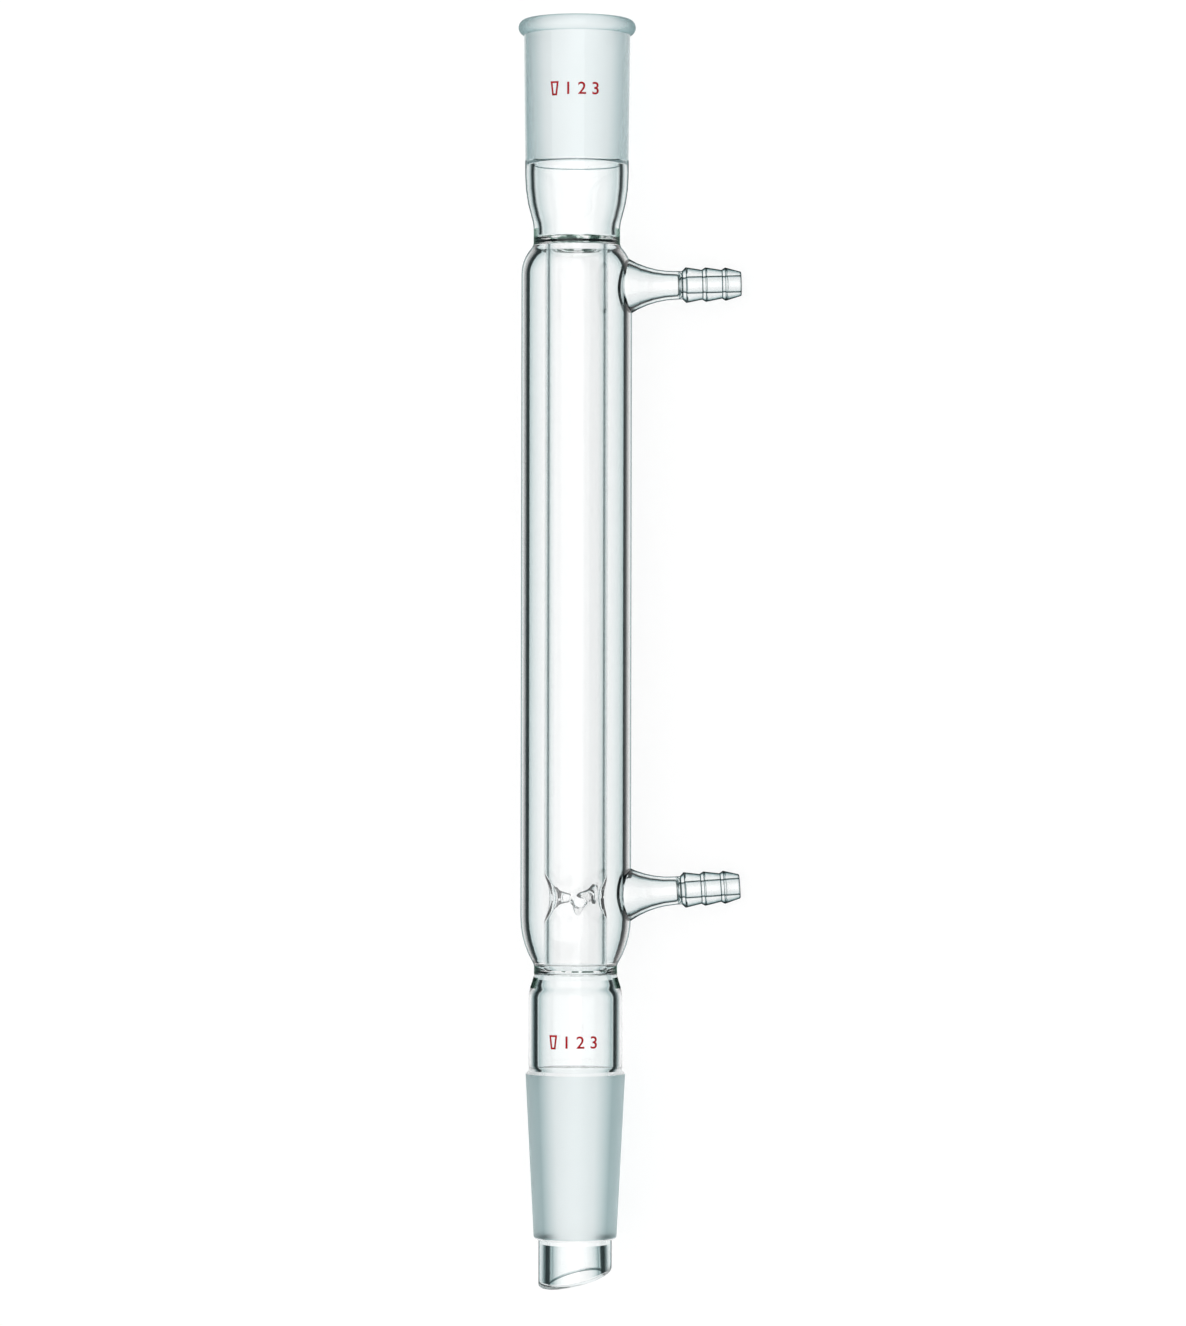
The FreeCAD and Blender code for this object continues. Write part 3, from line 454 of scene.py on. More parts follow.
def tube_glass(s, d, at):
    """Blow the tube glass from tip to rim: outside, rim bead and through bore in one."""
    cone_end_round = (s.cone_end_od - s.tip_od) / 2 - LEDGE
    taper = (s.cone_od - s.cone_end_od) / 2 / s.cone_length
    o = Outline(s.tip_od / 2, -SPARE)
    o.line(s.tip_od / 2, at.cone_end)
    o.line(s.cone_end_od / 2 - cone_end_round, at.cone_end)
    o.arc(s.cone_end_od / 2, at.cone_end + cone_end_round, cone_end_round, True)
    o.line(s.cone_od / 2, at.cone_top, 8)
    o.line(s.stem_od / 2, at.cone_top + s.cone_shoulder)
    o.line(s.stem_od / 2, at.stem_top, 4)
    o.shoulder(s.lower_neck_od / 2, at.lower_seal, EVEN)
    o.line(s.lower_neck_od / 2, at.lower_seal_top)
    o.shoulder(s.jacket_od / 2, at.jacket_low, LOWER_SHOULDER)
    o.line(s.jacket_od / 2, at.jacket_low + PORT_ZONE, 6)
    o.line(s.jacket_od / 2, at.jacket_high - PORT_ZONE, 4)
    o.line(s.jacket_od / 2, at.jacket_high, 6)
    o.shoulder(s.upper_neck_od / 2, at.upper_seal, UPPER_SHOULDER)
    o.line(s.upper_neck_od / 2, at.bulb_low)
    o.shoulder(s.bulb_od / 2, at.bulb_high, BULB_SHOULDER)
    o.line(s.bulb_od / 2, at.ground_end)
    bead = s.bead_height / 2
    foot = at.bead_middle - math.sqrt(bead ** 2 - (bead - s.bead_stand) ** 2)
    o.line(s.socket_od / 2, foot, 6)
    o.arc(s.socket_od / 2 + s.bead_stand, at.bead_middle, bead, True)
    o.arc(s.socket_od / 2 + s.bead_stand - bead, at.rim, bead, True)
    o.line(s.socket_bore / 2 + s.mouth_round, at.rim)
    o.arc(s.socket_bore / 2, at.rim - s.mouth_round, s.mouth_round, True)
    o.line(s.socket_end_bore / 2, at.ground_end, 6)
    o.shoulder(s.bulb_od / 2 - s.bulb_wall, at.ground_end - s.bulb_step, EVEN)
    o.line(s.bulb_od / 2 - s.bulb_wall, at.bulb_high)
    o.shoulder(s.upper_neck_od / 2 - s.neck_wall, at.bulb_low, 1 - BULB_SHOULDER)
    o.line(s.upper_neck_od / 2 - s.neck_wall, at.upper_seal + s.upper_flare / 2)
    tube_bore = s.tube_od / 2 - s.tube_wall
    o.shoulder(tube_bore, at.upper_seal - s.upper_flare / 2, EVEN)
    o.line(tube_bore, at.indents + d.reach, 8)
    o.line(tube_bore, at.indents - d.reach, DENT_RINGS)
    o.line(tube_bore, at.lower_seal + s.lower_flare / 2, 2)
    o.shoulder(s.lower_neck_od / 2 - s.neck_wall, at.lower_seal - s.lower_flare / 2, EVEN)
    stem_bore = s.stem_od / 2 - s.stem_wall
    o.shoulder(stem_bore, at.stem_top, EVEN)
    o.line(stem_bore, at.cone_top + BORE_TOP, 4)
    o.shoulder(s.cone_od / 2 - s.cone_wall, at.cone_top, EVEN)
    o.line(s.cone_end_od / 2 - s.cone_wall + taper * BORE_END, at.cone_end + BORE_END, 6)
    o.shoulder(s.tip_od / 2 - s.tip_wall, at.cone_end - cone_end_round, EVEN)
    o.line(s.tip_od / 2 - s.tip_wall, -SPARE)
    bm = o.spun(ROUND)
    slope_tip(bm, s)
    press_indents(bm, s, d, at, d.finger, d.width, FINGER_SHAPE, tube_bore)

    def finish_of(middle, normal):
        height = middle.z
        if faces_out(middle, normal):
            if at.cone_end + cone_end_round / 2 < height < at.cone_top:
                return "ground_cone"
            if NECK_SHADE[0] < at.lower_seal - height < NECK_SHADE[1]:
                return "neck_shade"
            for seal, (below, above) in ((at.lower_seal, LOWER_GREEN_SHADE), (at.upper_seal, UPPER_GREEN_SHADE)):
                if -below < height - seal < above:
                    return "neck_glass"
            if at.lower_seal_top < height < at.upper_seal:
                return "jacket_glass"
            if height > foot:
                return "rim_bead"
            on_bulb = at.bulb_low < height < at.ground_end
            return "blown_glass" if on_bulb or height < at.cone_end else "clear_glass"
        if height < at.cone_end - cone_end_round or height > at.rim - s.mouth_round:
            if height > at.cone_end:
                return "clear_glass"
            return "tip_lip" if normal.z < -LIP else "tip_wall"
        if height < at.cone_top:
            return "cone_bore"
        for finish, seal, flare, (below, above) in (
                ("seal_dashes", at.lower_seal, s.lower_flare, LOWER_RING),
                ("ring_seal", at.upper_seal, s.upper_flare, UPPER_RING)):
            if -below < height - seal < above:
                return finish
            if abs(height - seal) < flare / 2:
                return "seal_flare"
        if height < at.lower_seal:
            return "stem_wall"
        if height < at.upper_seal:
            pressed = near_indent(d, at, middle, FINGER_FOOT)
            return "indent_glass" if pressed else "inner_tube_wall"
        if height > at.ground_end:
            return "ground_socket"
        step = height - (at.ground_end - s.bulb_step)
        return "step_line" if 0 < step < STEP_LINE else "bulb_wall"

    return solid("tube_glass", bm, finish_of)


def near_indent(d, at, middle, foot):
    """Tell whether a place belongs to an indent that reaches in further than its foot."""
    return abs(middle.z - at.indents) < d.reach and middle.xy.length < foot


def divide_wall(bm, d, at, radius):
    """Divide a wall finely where the fingers will stretch it, and keep it round."""
    fine = FINE_WALL * d.width
    edges = []
    for edge in bm.edges:
        middle = (edge.verts[0].co + edge.verts[1].co) / 2
        if abs(middle.xy.length - radius) > NEAR_WALL or abs(middle.z - at.indents) > 2 * fine:
            continue
        for side in SIDES:
            turn = getattr(d, side + "_turn")
            out = middle.x * math.cos(turn) + middle.y * math.sin(turn)
            across = middle.y * math.cos(turn) - middle.x * math.sin(turn)
            level = middle.z - at.indents - getattr(d, side + "_rise")
            if out > 0 and math.hypot(across, level) < fine:
                edges.append(edge)
                break
    bmesh.ops.subdivide_edges(bm, edges=edges, cuts=FINE_CUTS, use_grid_fill=True)
    for vert in bm.verts:
        if abs(vert.co.xy.length - radius) < ON_WALL:
            vert.co.xy *= radius / vert.co.xy.length


def press_indents(bm, s, d, at, finger, width, shape, radius):
    """Press the softened wall of the inner tube in at each indent, with a finger in the dent."""
    divide_wall(bm, d, at, radius)
    for vert in bm.verts:
        level = vert.co.z - at.indents
        if abs(level) >= d.reach or vert.co.xy.length > s.tube_od / 2 + WELD:
            continue
        moved = vert.co.copy()
        for side in SIDES:
            turn = getattr(d, side + "_turn")
            out = Vector((math.cos(turn), math.sin(turn), 0))
            across = out.x * vert.co.y - out.y * vert.co.x
            away = math.hypot(across, level)
            if vert.co.dot(out) <= 0 or away >= d.reach:
                continue
            rim = 1 - (away / d.reach) ** 2
            root = math.hypot(across, level - getattr(d, side + "_rise"))
            share = 1 / (1 + (root / width) ** shape)
            reach = finger * (d.front_share if side == "front" else 1)
            moved -= out * (d.depth * rim + reach * share * min(1, FINGER_FADE * rim))
            moved.z -= getattr(d, side + "_droop") * share
        vert.co = moved


def slope_tip(bm, s):
    """Cut the open lower end off at a slope, close it and fire-polish both its edges."""
    tan = math.tan(s.tip_slope)
    across = Vector((math.cos(s.tip_turn), math.sin(s.tip_turn), 0))
    normal = Vector((-across.x * tan, -across.y * tan, 1)).normalized()
    bmesh.ops.bisect_plane(bm, geom=bm.verts[:] + bm.edges[:] + bm.faces[:], dist=0,
                           plane_co=Vector((0, 0, s.tip_trim)) - across * s.tip_od / 2,
                           plane_no=-normal, clear_outer=True)
    ends = [edge for edge in bm.edges if edge.is_boundary]
    bmesh.ops.bridge_loops(bm, edges=ends)
    bmesh.ops.bevel(bm, geom=ends, offset=s.tip_polish, offset_type="OFFSET", segments=6,
                    profile=0.5, material=-1, affect="EDGES", clamp_overlap=True)


def jacket_space(s, d, at):
    """Shape the closed ring-shaped space between the inner tube and the jacket."""
    tube, wall, r = s.tube_od / 2, s.jacket_od / 2 - s.jacket_wall, s.seal_round
    low, high = at.lower_seal + s.seal_web + r, at.upper_seal - s.upper_web - r
    o = Outline(tube, at.indents - d.reach)
    o.line(tube, at.indents + d.reach, DENT_RINGS)
    o.line(tube, high, 8)
    o.arc(tube + r, high + r, r, False)
    o.arc(tube + 2 * r, high, r, False)
    o.shoulder(wall, at.jacket_high, UPPER_SPACE)
    o.line(wall, at.jacket_high - SPACE_ZONE, 4)
    o.line(wall, at.jacket_low + PORT_ZONE, 4)
    o.line(wall, at.jacket_low, 4)
    o.shoulder(tube + 2 * r, low, LOWER_SPACE)
    o.arc(tube + r, low - r, r, False)
    o.arc(tube, low, r, False)
    o.close()
    bm = o.spun(ROUND)
    press_indents(bm, s, d, at, d.hollow, d.hollow_width, HOLLOW_SHAPE, tube)

    def finish_of(middle, normal):
        if not low < middle.z < high:
            return "clear_glass"
        if faces_out(middle, normal) and middle.xy.length > tube + r:
            return "jacket_wall"
        if near_indent(d, at, middle, FINGER_FOOT):
            return "indent_glass"
        return "blown_glass" if near_indent(d, at, middle, DENT_FOOT) else "clear_glass"

    return solid("jacket_space", bm, finish_of)


def flared(s, p, wall, root_wall):
    """Start a port's outline inside the jacket, with its flare, less a wall at neck and root.

    It comes with the heights at which the flare, the neck and the port end.
    """
    inside = (s.jacket_od / 2 - s.jacket_wall + s.tube_od / 2) / 2
    root = s.jacket_od / 2 - p.seat
    neck = root + p.flare
    neck_end = neck + p.neck_length
    wide, narrow = p.root_od / 2 - root_wall, p.neck_od / 2 - wall
    o = Outline(0, inside)
    o.line(wide, inside)
    o.line(wide, root)
    o.arc(narrow, neck, (p.flare ** 2 + (wide - narrow) ** 2) / (2 * (wide - narrow)), False)
    return o, neck, neck_end, neck_end + p.barbs * p.pitch


def port_glass(name, s, p, place):
    """Draw a hose port: a flare out of the jacket, a neck and three softened serrations."""
    o, _, neck_end, end = flared(s, p, 0, 0)
    o.line(p.neck_od / 2, neck_end)
    for barb in range(p.barbs):
        crest = (p.barb_od - barb * p.barb_drop) / 2
        start = neck_end + barb * p.pitch
        last = barb + 1 == p.barbs
        valley = p.end_od / 2 if last else crest - p.barb_fall
        back = start + p.pitch
        soften(o, crest, start + p.barb_rise, valley, back, p.crest_round)
        if last:
            o.line(valley, end - p.end_round)
        else:
            o.line(valley, back)
    o.arc(p.end_od / 2 - p.end_round, end, p.end_round, True)
    o.line(0, end)
    o.close()

    def finish_of(middle, normal):
        if middle.z < neck_end or middle.xy.length < p.bore / 2:
            return "port_flare"
        rounded = CREST_RISE[0] < normal.z < CREST_RISE[1] or normal.z > END_RISE
        valley = (middle.z - neck_end) % p.pitch < VALLEY_LINE
        return "serration_crest" if rounded or valley else "drawn_glass"

    return solid(name, o.spun(PORT_ROUND), finish_of, place)


def soften(o, radius, height, next_radius, next_height, size):
    """Run up to a crest and round it off towards the next corner."""
    corner = Vector((radius, 0, height))
    back = (o.last.co - corner).normalized()
    ahead = (Vector((next_radius, 0, next_height)) - corner).normalized()
    half = back.angle(ahead) / 2
    reach = size / math.tan(half)
    start, end = corner + back * reach, corner + ahead * reach
    foot = o.last.co.copy()
    foot += (start - foot).normalized() * 2 * VALLEY_LINE
    o.line(foot.x, foot.z)
    o.line(start.x, start.z)
    turn = back.x * ahead.z - back.z * ahead.x
    o.arc(end.x, end.z, size, turn < 0)


def port_hollow(name, s, p, place):
    """Draw the way through a hose port into the jacket space."""
    o, neck, _, end = flared(s, p, p.wall, p.root_wall)
    o.shoulder(p.bore / 2, neck + p.funnel, EVEN)
    o.line(p.bore / 2, end + MILLIMETRE, 3)
    o.line(0, end + MILLIMETRE)
    o.close()
    return solid(name, o.spun(PORT_ROUND), lambda middle, normal: "port_bore", place)


def combine(piece, tools, operation):
    """Fuse tools onto a piece or cut them out of it, and clear the tools away."""
    for tool in tools:
        step = piece.modifiers.new(tool.name, "BOOLEAN")
        step.operation, step.solver, step.object = operation, "EXACT", tool
        fused = bpy.data.meshes.new_from_object(
            piece.evaluated_get(bpy.context.evaluated_depsgraph_get()))
        piece.modifiers.clear()
        old, piece.data = piece.data, fused
        bpy.data.meshes.remove(old)
        spent = tool.data
        bpy.data.objects.remove(tool)
        bpy.data.meshes.remove(spent)
    return piece


def tidy(piece):
    """Weld what the fusing left, and keep creases only where the glass has them."""
    bm = bmesh.new()
    bm.from_mesh(piece.data)
    bmesh.ops.remove_doubles(bm, verts=bm.verts[:], dist=WELD)
    bmesh.ops.dissolve_degenerate(bm, edges=bm.edges[:], dist=WELD)
    turn_outwards(bm)
    open_edges = [edge for edge in bm.edges if not edge.is_manifold]
    if open_edges:
        raise RuntimeError(f"{piece.name} has {len(open_edges)} open edges")
    for face in bm.faces:
        face.smooth = True
    for edge in bm.edges:
        pressed = any(face.material_index == SLOT["indent_glass"] for face in edge.link_faces)
        edge.smooth = pressed or edge.calc_face_angle() < SHARP
    bm.to_mesh(piece.data)
    bm.free()


def axis_turn(bearing, fall=0.0):
    """Turn the height axis out to a bearing round the column, less a fall."""
    return Matrix.Rotation(bearing, 4, "Z") @ Matrix.Rotation(math.pi / 2 - fall, 4, "Y")


def laid(looks):
    """Give the turn of the lying column, from upright with its tip down."""
    return (Matrix.Rotation(looks.pitch, 4, "X") @ Matrix.Rotation(looks.roll, 4, "Y")
            @ Matrix.Rotation(-math.pi / 2, 4, "X"))


def lay_down(pieces, looks):
    """Lay the pieces down where the CAD column lies, with their place in their meshes."""
    low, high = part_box(NODE)
    turn = laid(looks)
    points = [turn @ v.co for v in pieces[0].data.vertices]
    mine_low = Vector([min(p[i] for p in points) for i in range(3)])
    mine_high = Vector([max(p[i] for p in points) for i in range(3)])
    shift = Vector((low[0] - mine_low.x, high[1] - mine_high.y, low[2] - mine_low.z))
    place = Matrix.Translation(shift) @ turn
    for piece in pieces:
        piece.data.transform(place)
    return place


def column_place(scene):
    """Give where the glass operator laid the column."""
    return Matrix([scene["column_place"][i:i + 4] for i in range(0, 16, 4)])


def add_node(tree, kind, settings=(), links=()):
    """Add a node, set its values or its ramp's stops, and link its inputs."""
    node = tree.nodes.new(kind)
    for name, value in dict(settings).items():
        if name == "stops":
            elements = node.color_ramp.elements
            elements.remove(elements[-1])
            for index, (position, colour) in enumerate(value):
                element = elements[0] if index == 0 else elements.new(position)
                element.position = position
                element.color = (*colour, 1)
        elif isinstance(name, int) or name in node.inputs:
            node.inputs[name].default_value = value
        else:
            setattr(node, name, value)
    for name, source in dict(links).items():
        output = source.outputs[0] if isinstance(source, bpy.types.Node) else source
        tree.links.new(output, node.inputs[name])
    return node


def material(name):
    """Start an empty node material."""
    made = bpy.data.materials.new(name)
    made.use_nodes = True
    made.node_tree.nodes.clear()
    return made, made.node_tree


def through_glass(tree, surface, shade):
    """Let lamps through the glass with a light shade, and finish the material."""
    path = add_node(tree, "ShaderNodeLightPath")
    clear = add_node(tree, "ShaderNodeBsdfTransparent", {"Color": (*shade, 1)})
    mix = add_node(tree, "ShaderNodeMixShader", links={
        0: path.outputs["Is Shadow Ray"], 1: surface, 2: clear})
    add_node(tree, "ShaderNodeOutputMaterial", links={"Surface": mix})


def maths(tree, operation, *terms):
    """Add a maths node whose terms are numbers or sockets."""
    node = add_node(tree, "ShaderNodeMath", {"operation": operation})
    for index, term in enumerate(terms):
        if isinstance(term, bpy.types.NodeSocket):
            tree.links.new(term, node.inputs[index])
        else:
            node.inputs[index].default_value = term
    return node.outputs[0]


def stops(levels, hue):
    """Give a ramp's stops for painted levels of light: the darker the painted shade, the more of the
    glass's hue.
    """
    return [(place, tuple(level * (1 + part * (1 - level)) for part in hue))
            for place, level in levels]


def facing(tree, tube):
    """Tell how squarely a face is looked at, for a tube's wall as if looked at across the tube."""
    square = add_node(tree, "ShaderNodeLayerWeight", {"Blend": 0.5}).outputs["Facing"]
    if not tube:
        return square
    axis = add_node(tree, "ShaderNodeVectorTransform", {
        "vector_type": "VECTOR", "convert_from": "OBJECT", "convert_to": "WORLD",
        "Vector": (0, 1, 0)})
    along = add_node(tree, "ShaderNodeLayerWeight", {"Blend": 0.5}, {"Normal": axis})
    # A level is one less a cosine: the face's is divided by the sine of the view to the axis
    to_axis = maths(tree, "SUBTRACT", 1, along.outputs["Facing"])
    sine = maths(tree, "SQRT", maths(tree, "SUBTRACT", 1, maths(tree, "POWER", to_axis, 2)))
    to_face = maths(tree, "SUBTRACT", 1, square)
    return maths(tree, "SUBTRACT", 1, maths(tree, "DIVIDE", to_face, sine))


def glass_material(name, looks, behind=(), before=(), tube=False, hue=COOL, roughness=0.0,
                   shadow=CLEAR_SHADE, grain=0):
    """Make a glass whose colour follows how squarely its face is looked at: painted shade and dark
    lines towards its edges.

    behind holds the painted levels of light for light that meets the face inside the glass, before
    those for light that meets it from outside, both from looking straight at the face to along it.
    """
    _, tree = material(name)
    glass = add_node(tree, "ShaderNodeBsdfGlass", {
        "Color": (1, 1, 1, 1), "Roughness": roughness, "IOR": looks.refraction})
    # Painted shade: a ramp on how squarely the face is looked at darkens the glass's colour, inside
    # and outside apart
    if behind or before:
        turned = facing(tree, tube)
        side = add_node(tree, "ShaderNodeNewGeometry").outputs["Backfacing"]
        pick = add_node(tree, "ShaderNodeMix", {
            "data_type": "RGBA", 6: (1, 1, 1, 1), 7: (1, 1, 1, 1)}, {0: side})
        for slot, levels in ((6, before), (7, behind)):
            if levels:
                tinted = add_node(tree, "ShaderNodeValToRGB", {"stops": stops(levels, hue)},
                                  {"Fac": turned})
                tree.links.new(tinted.outputs["Color"], pick.inputs[slot])
        tree.links.new(pick.outputs[2], glass.inputs["Color"])
    if grain:
        place = add_node(tree, "ShaderNodeTexCoord").outputs["Object"]
        noise = add_node(tree, "ShaderNodeTexNoise", {"Scale": 1 / grain, "Detail": 2.0},
                         {"Vector": place})
        bump = add_node(tree, "ShaderNodeBump", {"Strength": 0.1, "Distance": grain},
                        {"Height": noise})
        tree.links.new(bump.outputs["Normal"], glass.inputs["Normal"])
    through_glass(tree, glass, shadow)


def seal_material(name, looks, levels, swirl):
    """Make the thick fused glass of the ring seals: green, with swirls of painted dark shade."""
    _, tree = material(name)
    place = add_node(tree, "ShaderNodeTexCoord").outputs["Object"]
    noise = add_node(tree, "ShaderNodeTexNoise", {
        "Scale": 1 / swirl, "Detail": 1.0, "Roughness": 0.6}, {"Vector": place})
    tinted = add_node(tree, "ShaderNodeValToRGB", {"stops": stops(levels, GREEN)}, {"Fac": noise})
    glass = add_node(tree, "ShaderNodeBsdfGlass", {"Roughness": 0.0, "IOR": looks.refraction},
                     {"Color": tinted})
    through_glass(tree, glass, SEAL_SHADE)


# Painted levels of light at a wall, from looking straight at it (0) to looking along it (1): painted
# shade with a painted dark line. Inside the glass a wall mirrors from 0.267 on, and its dark line lies
# on both sides
JACKET = ((0, 1), (0.1, 0.98), (0.15, 0.91), (0.2, 0.8), (0.24, 0.6), (0.25, 0.01), (0.28, 0.01),
          (0.34, 0.97), (1, 1))
INNER_TUBE = ((0, 1), (0.14, 0.98), (0.21, 0.85), (0.24, 0.7), (0.25, 0.2), (0.285, 0.2), (0.3, 0.65),
              (0.35, 0.9), (1, 0.95))
STEM = ((0, 0.97), (0.11, 0.9), (0.16, 0.77), (0.21, 0.5), (0.22, 0.68), (0.24, 0.02), (0.275, 0),
        (0.3, 0.24), (0.35, 0.95), (1, 1))
BULB = ((0, 1), (0.1, 0.92), (0.19, 0.7), (0.22, 0.78), (0.25, 0.02), (0.275, 0.02), (0.3, 0.58),
        (0.33, 0.95), (1, 1))
TIP = ((0, 1), (0.08, 0.88), (0.13, 0.7), (0.18, 0.36), (0.2, 0.5), (0.23, 0.05), (0.3, 0.01),
       (0.36, 0.2), (0.43, 0.7), (0.5, 0.9), (1, 0.95))
PORT_BORE = ((0, 1), (0.16, 0.85), (0.2, 0.4), (0.24, 0.01), (0.27, 0.01), (0.3, 0.75), (0.35, 0.97),
             (1, 1))
INDENT = ((0, 1), (0.17, 0.98), (0.21, 0.85), (0.235, 0.2), (0.245, 0.01), (0.285, 0.01), (0.305, 0.5),
          (0.33, 0.92), (1, 1))
INDENT_EDGE = ((0, 1), (0.28, 0.98), (0.36, 0.7), (0.43, 0.2), (0.5, 0.01), (1, 0.01))
EDGE = ((0, 1), (0.6, 1), (0.72, 0.9), (0.82, 0.35), (0.9, 0.1), (1, 0.05))
NECK = ((0, 1), (0.5, 1), (0.6, 0.55), (0.72, 0.3), (0.86, 0.3), (1, 0.5))
NECK_DARK = ((0, 1), (0.5, 1), (0.56, 0.3), (0.63, 0.05), (0.9, 0.04), (1, 0.2))
SEAL_FLARE = ((0, 0.95), (0.2, 0.85), (0.25, 0.6), (0.3, 0.75), (1, 0.9))
FLARE_EDGE = ((0, 1), (0.56, 1), (0.66, 0.6), (0.75, 0.15), (1, 0.03))
OUTLINE = ((0, 1), (0.74, 1), (0.82, 0.62), (0.9, 0.35), (1, 0.25))
PORT_EDGE = ((0, 1), (0.46, 1), (0.56, 0.85), (0.65, 0.35), (0.74, 0.08), (1, 0.02))
DRAWN = ((0, 1), (0.12, 0.98), (0.17, 0.86), (0.21, 0.6), (0.25, 0.3), (0.267, 0.15), (0.3, 0.35),
         (0.4, 0.7), (0.6, 0.85), (1, 0.9))
CREST = ((0, 0.24), (0.3, 0.18), (1, 0.08))
STEP_NEAR = ((0, 0.9), (1, 0.85))
STEP_FAR = ((0, 0.45), (0.3, 0.35), (1, 0.2))
LIP_NEAR = ((0, 1), (0.25, 0.9), (1, 0.8))
LIP_FAR = ((0, 0.9), (0.3, 0.5), (0.55, 0.2), (1, 0.1))
DASH_SHADE = ((0.4, 0.15), (0.45, 0.5), (0.49, 1.0))
SWIRL_SHADE = ((0.38, 0.12), (0.44, 0.4), (0.50, 0.8), (0.55, 1.0))
BEAD = ((0, 0.96), (0.3, 0.92), (0.5, 0.8), (0.7, 0.62), (0.85, 0.5), (1, 0.4))
GROUND_CONE = ((0, 0.9), (0.1, 0.88), (0.25, 0.72), (0.35, 0.6), (0.7, 0.7), (1, 0.72))
GROUND_SOCKET = ((0, 0.95), (0.12, 0.93), (0.2, 0.86), (0.3, 0.8), (0.35, 0.73), (1, 0.72))
CONE_BORE = ((0, 1), (0.2, 0.95), (0.26, 0.85), (0.3, 0.9), (1, 0.95))

# Clear glass by region, with painted shade by view angle: the painted levels for light that meets a
# face inside the glass, those for light that meets it from outside, whether the face is a tube's, and
# the hue
CLEAR_GLASS = {
    # Drawn borosilicate tube: colourless and bright, with nothing but its own reflections
    "clear_glass": ((), (), False, COOL),
    # Bores of the tubes: a painted black line inside each edge, with painted soft grey shade on the
    # axis' side of it
    "jacket_wall": (JACKET, (), True, COOL),
    "inner_tube_wall": (INNER_TUBE, (), True, COOL),
    "stem_wall": (STEM, (), True, COOL),
    "bulb_wall": (BULB, (), True, COOL),
    "tip_wall": (TIP, (), True, COOL),
    "port_bore": (PORT_BORE, (), False, COOL),
    # Bore of the ground cone: only a faint painted line, which the ground face blurs
    "cone_bore": (CONE_BORE, (), False, COOL),
    # Outside of the jacket: a fine painted grey outline
    "jacket_glass": ((), OUTLINE, True, COOL),
    # Glass worked in the flame, such as the bulb: a darker painted outline
    "blown_glass": ((), EDGE, True, COOL),
    # Flares of the ports: painted black where they turn away
    "port_flare": ((), FLARE_EDGE, False, COOL),
    # Serrations: painted dark outlines, with painted black lines on the softened crests and in the
    # valleys
    "drawn_glass": (DRAWN, PORT_EDGE, False, COOL),
    "serration_crest": (CREST, CREST, False, COOL),
    # Indents: solid fingers, left clear in front and painted black at their edges
    "indent_glass": (INDENT, INDENT_EDGE, False, COOL),
    # Step under the socket's ground zone: a thin painted grey ring
    "step_line": (STEP_NEAR, STEP_FAR, False, COOL),
    # Fire-polished lip of the drip tip: pale, with painted shade at its edge that goes softly to dark
    # grey
    "tip_lip": (LIP_NEAR, LIP_FAR, False, COOL),
    # Necks at the ring seals: thick greenish glass, with painted dark green shade towards its outline
    "neck_glass": ((), NECK, True, GREEN),
    "neck_shade": ((), NECK_DARK, True, GREEN),
    # Flares of the inner tube into the seals: a painted grey veil of shade beside each ring
    "seal_flare": (SEAL_FLARE, (), False, COOL)}


def make_finishes(looks):
    """Make the materials of the glass and of the printed marks."""
    for name, (behind, before, tube, hue) in CLEAR_GLASS.items():
        glass_material(name, looks, behind, before, tube, hue)
    # Fused ring seals: thick glass that shows its green, with painted dark swirls of shade above,
    # painted dashes of shade below
    seal_material("ring_seal", looks, SWIRL_SHADE, looks.swirl)
    seal_material("seal_dashes", looks, DASH_SHADE, looks.swirl / 2)
    # Ground zones: lapped with fine grit, so that they scatter what they let through. The
    # pattern is coarser than real grit, about a quarter of a millimetre, so that it shows
    grit = 0.25 * MILLIMETRE
    # The ground zones' colour is painted shade: greyer and more teal towards their outlines
    glass_material("ground_cone", looks, (), GROUND_CONE, False, CONE_HUE,
                   looks.ground_roughness, GROUND_SHADE, grit)
    glass_material("ground_socket", looks, GROUND_SOCKET, (), False, SOCKET_HUE,
                   looks.ground_roughness, GROUND_SHADE, grit)
    # Rim bead: its melted skin still shows some of the grinding, a third as rough, and a painted shade
    # darkens it towards its outline
    glass_material("rim_bead", looks, (), BEAD, roughness=looks.ground_roughness / 3)
    # Printed marks: red enamel screened onto the glass and baked, half matt and a little uneven
    _, tree = material("red_enamel")
    place = add_node(tree, "ShaderNodeTexCoord").outputs["Object"]
    noise = add_node(tree, "ShaderNodeTexNoise", {"Scale": 1 / PRINT_GRAIN, "Detail": 2.0},
                     {"Vector": place})
    colour = add_node(tree, "ShaderNodeValToRGB", {
        "stops": ((0.35, looks.mark_shade), (0.6, looks.mark))}, {"Fac": noise})
    paint = add_node(tree, "ShaderNodeBsdfPrincipled", {
        "Roughness": 0.6, "Specular IOR Level": 0.15}, {"Base Color": colour})
    add_node(tree, "ShaderNodeOutputMaterial", links={"Surface": paint})


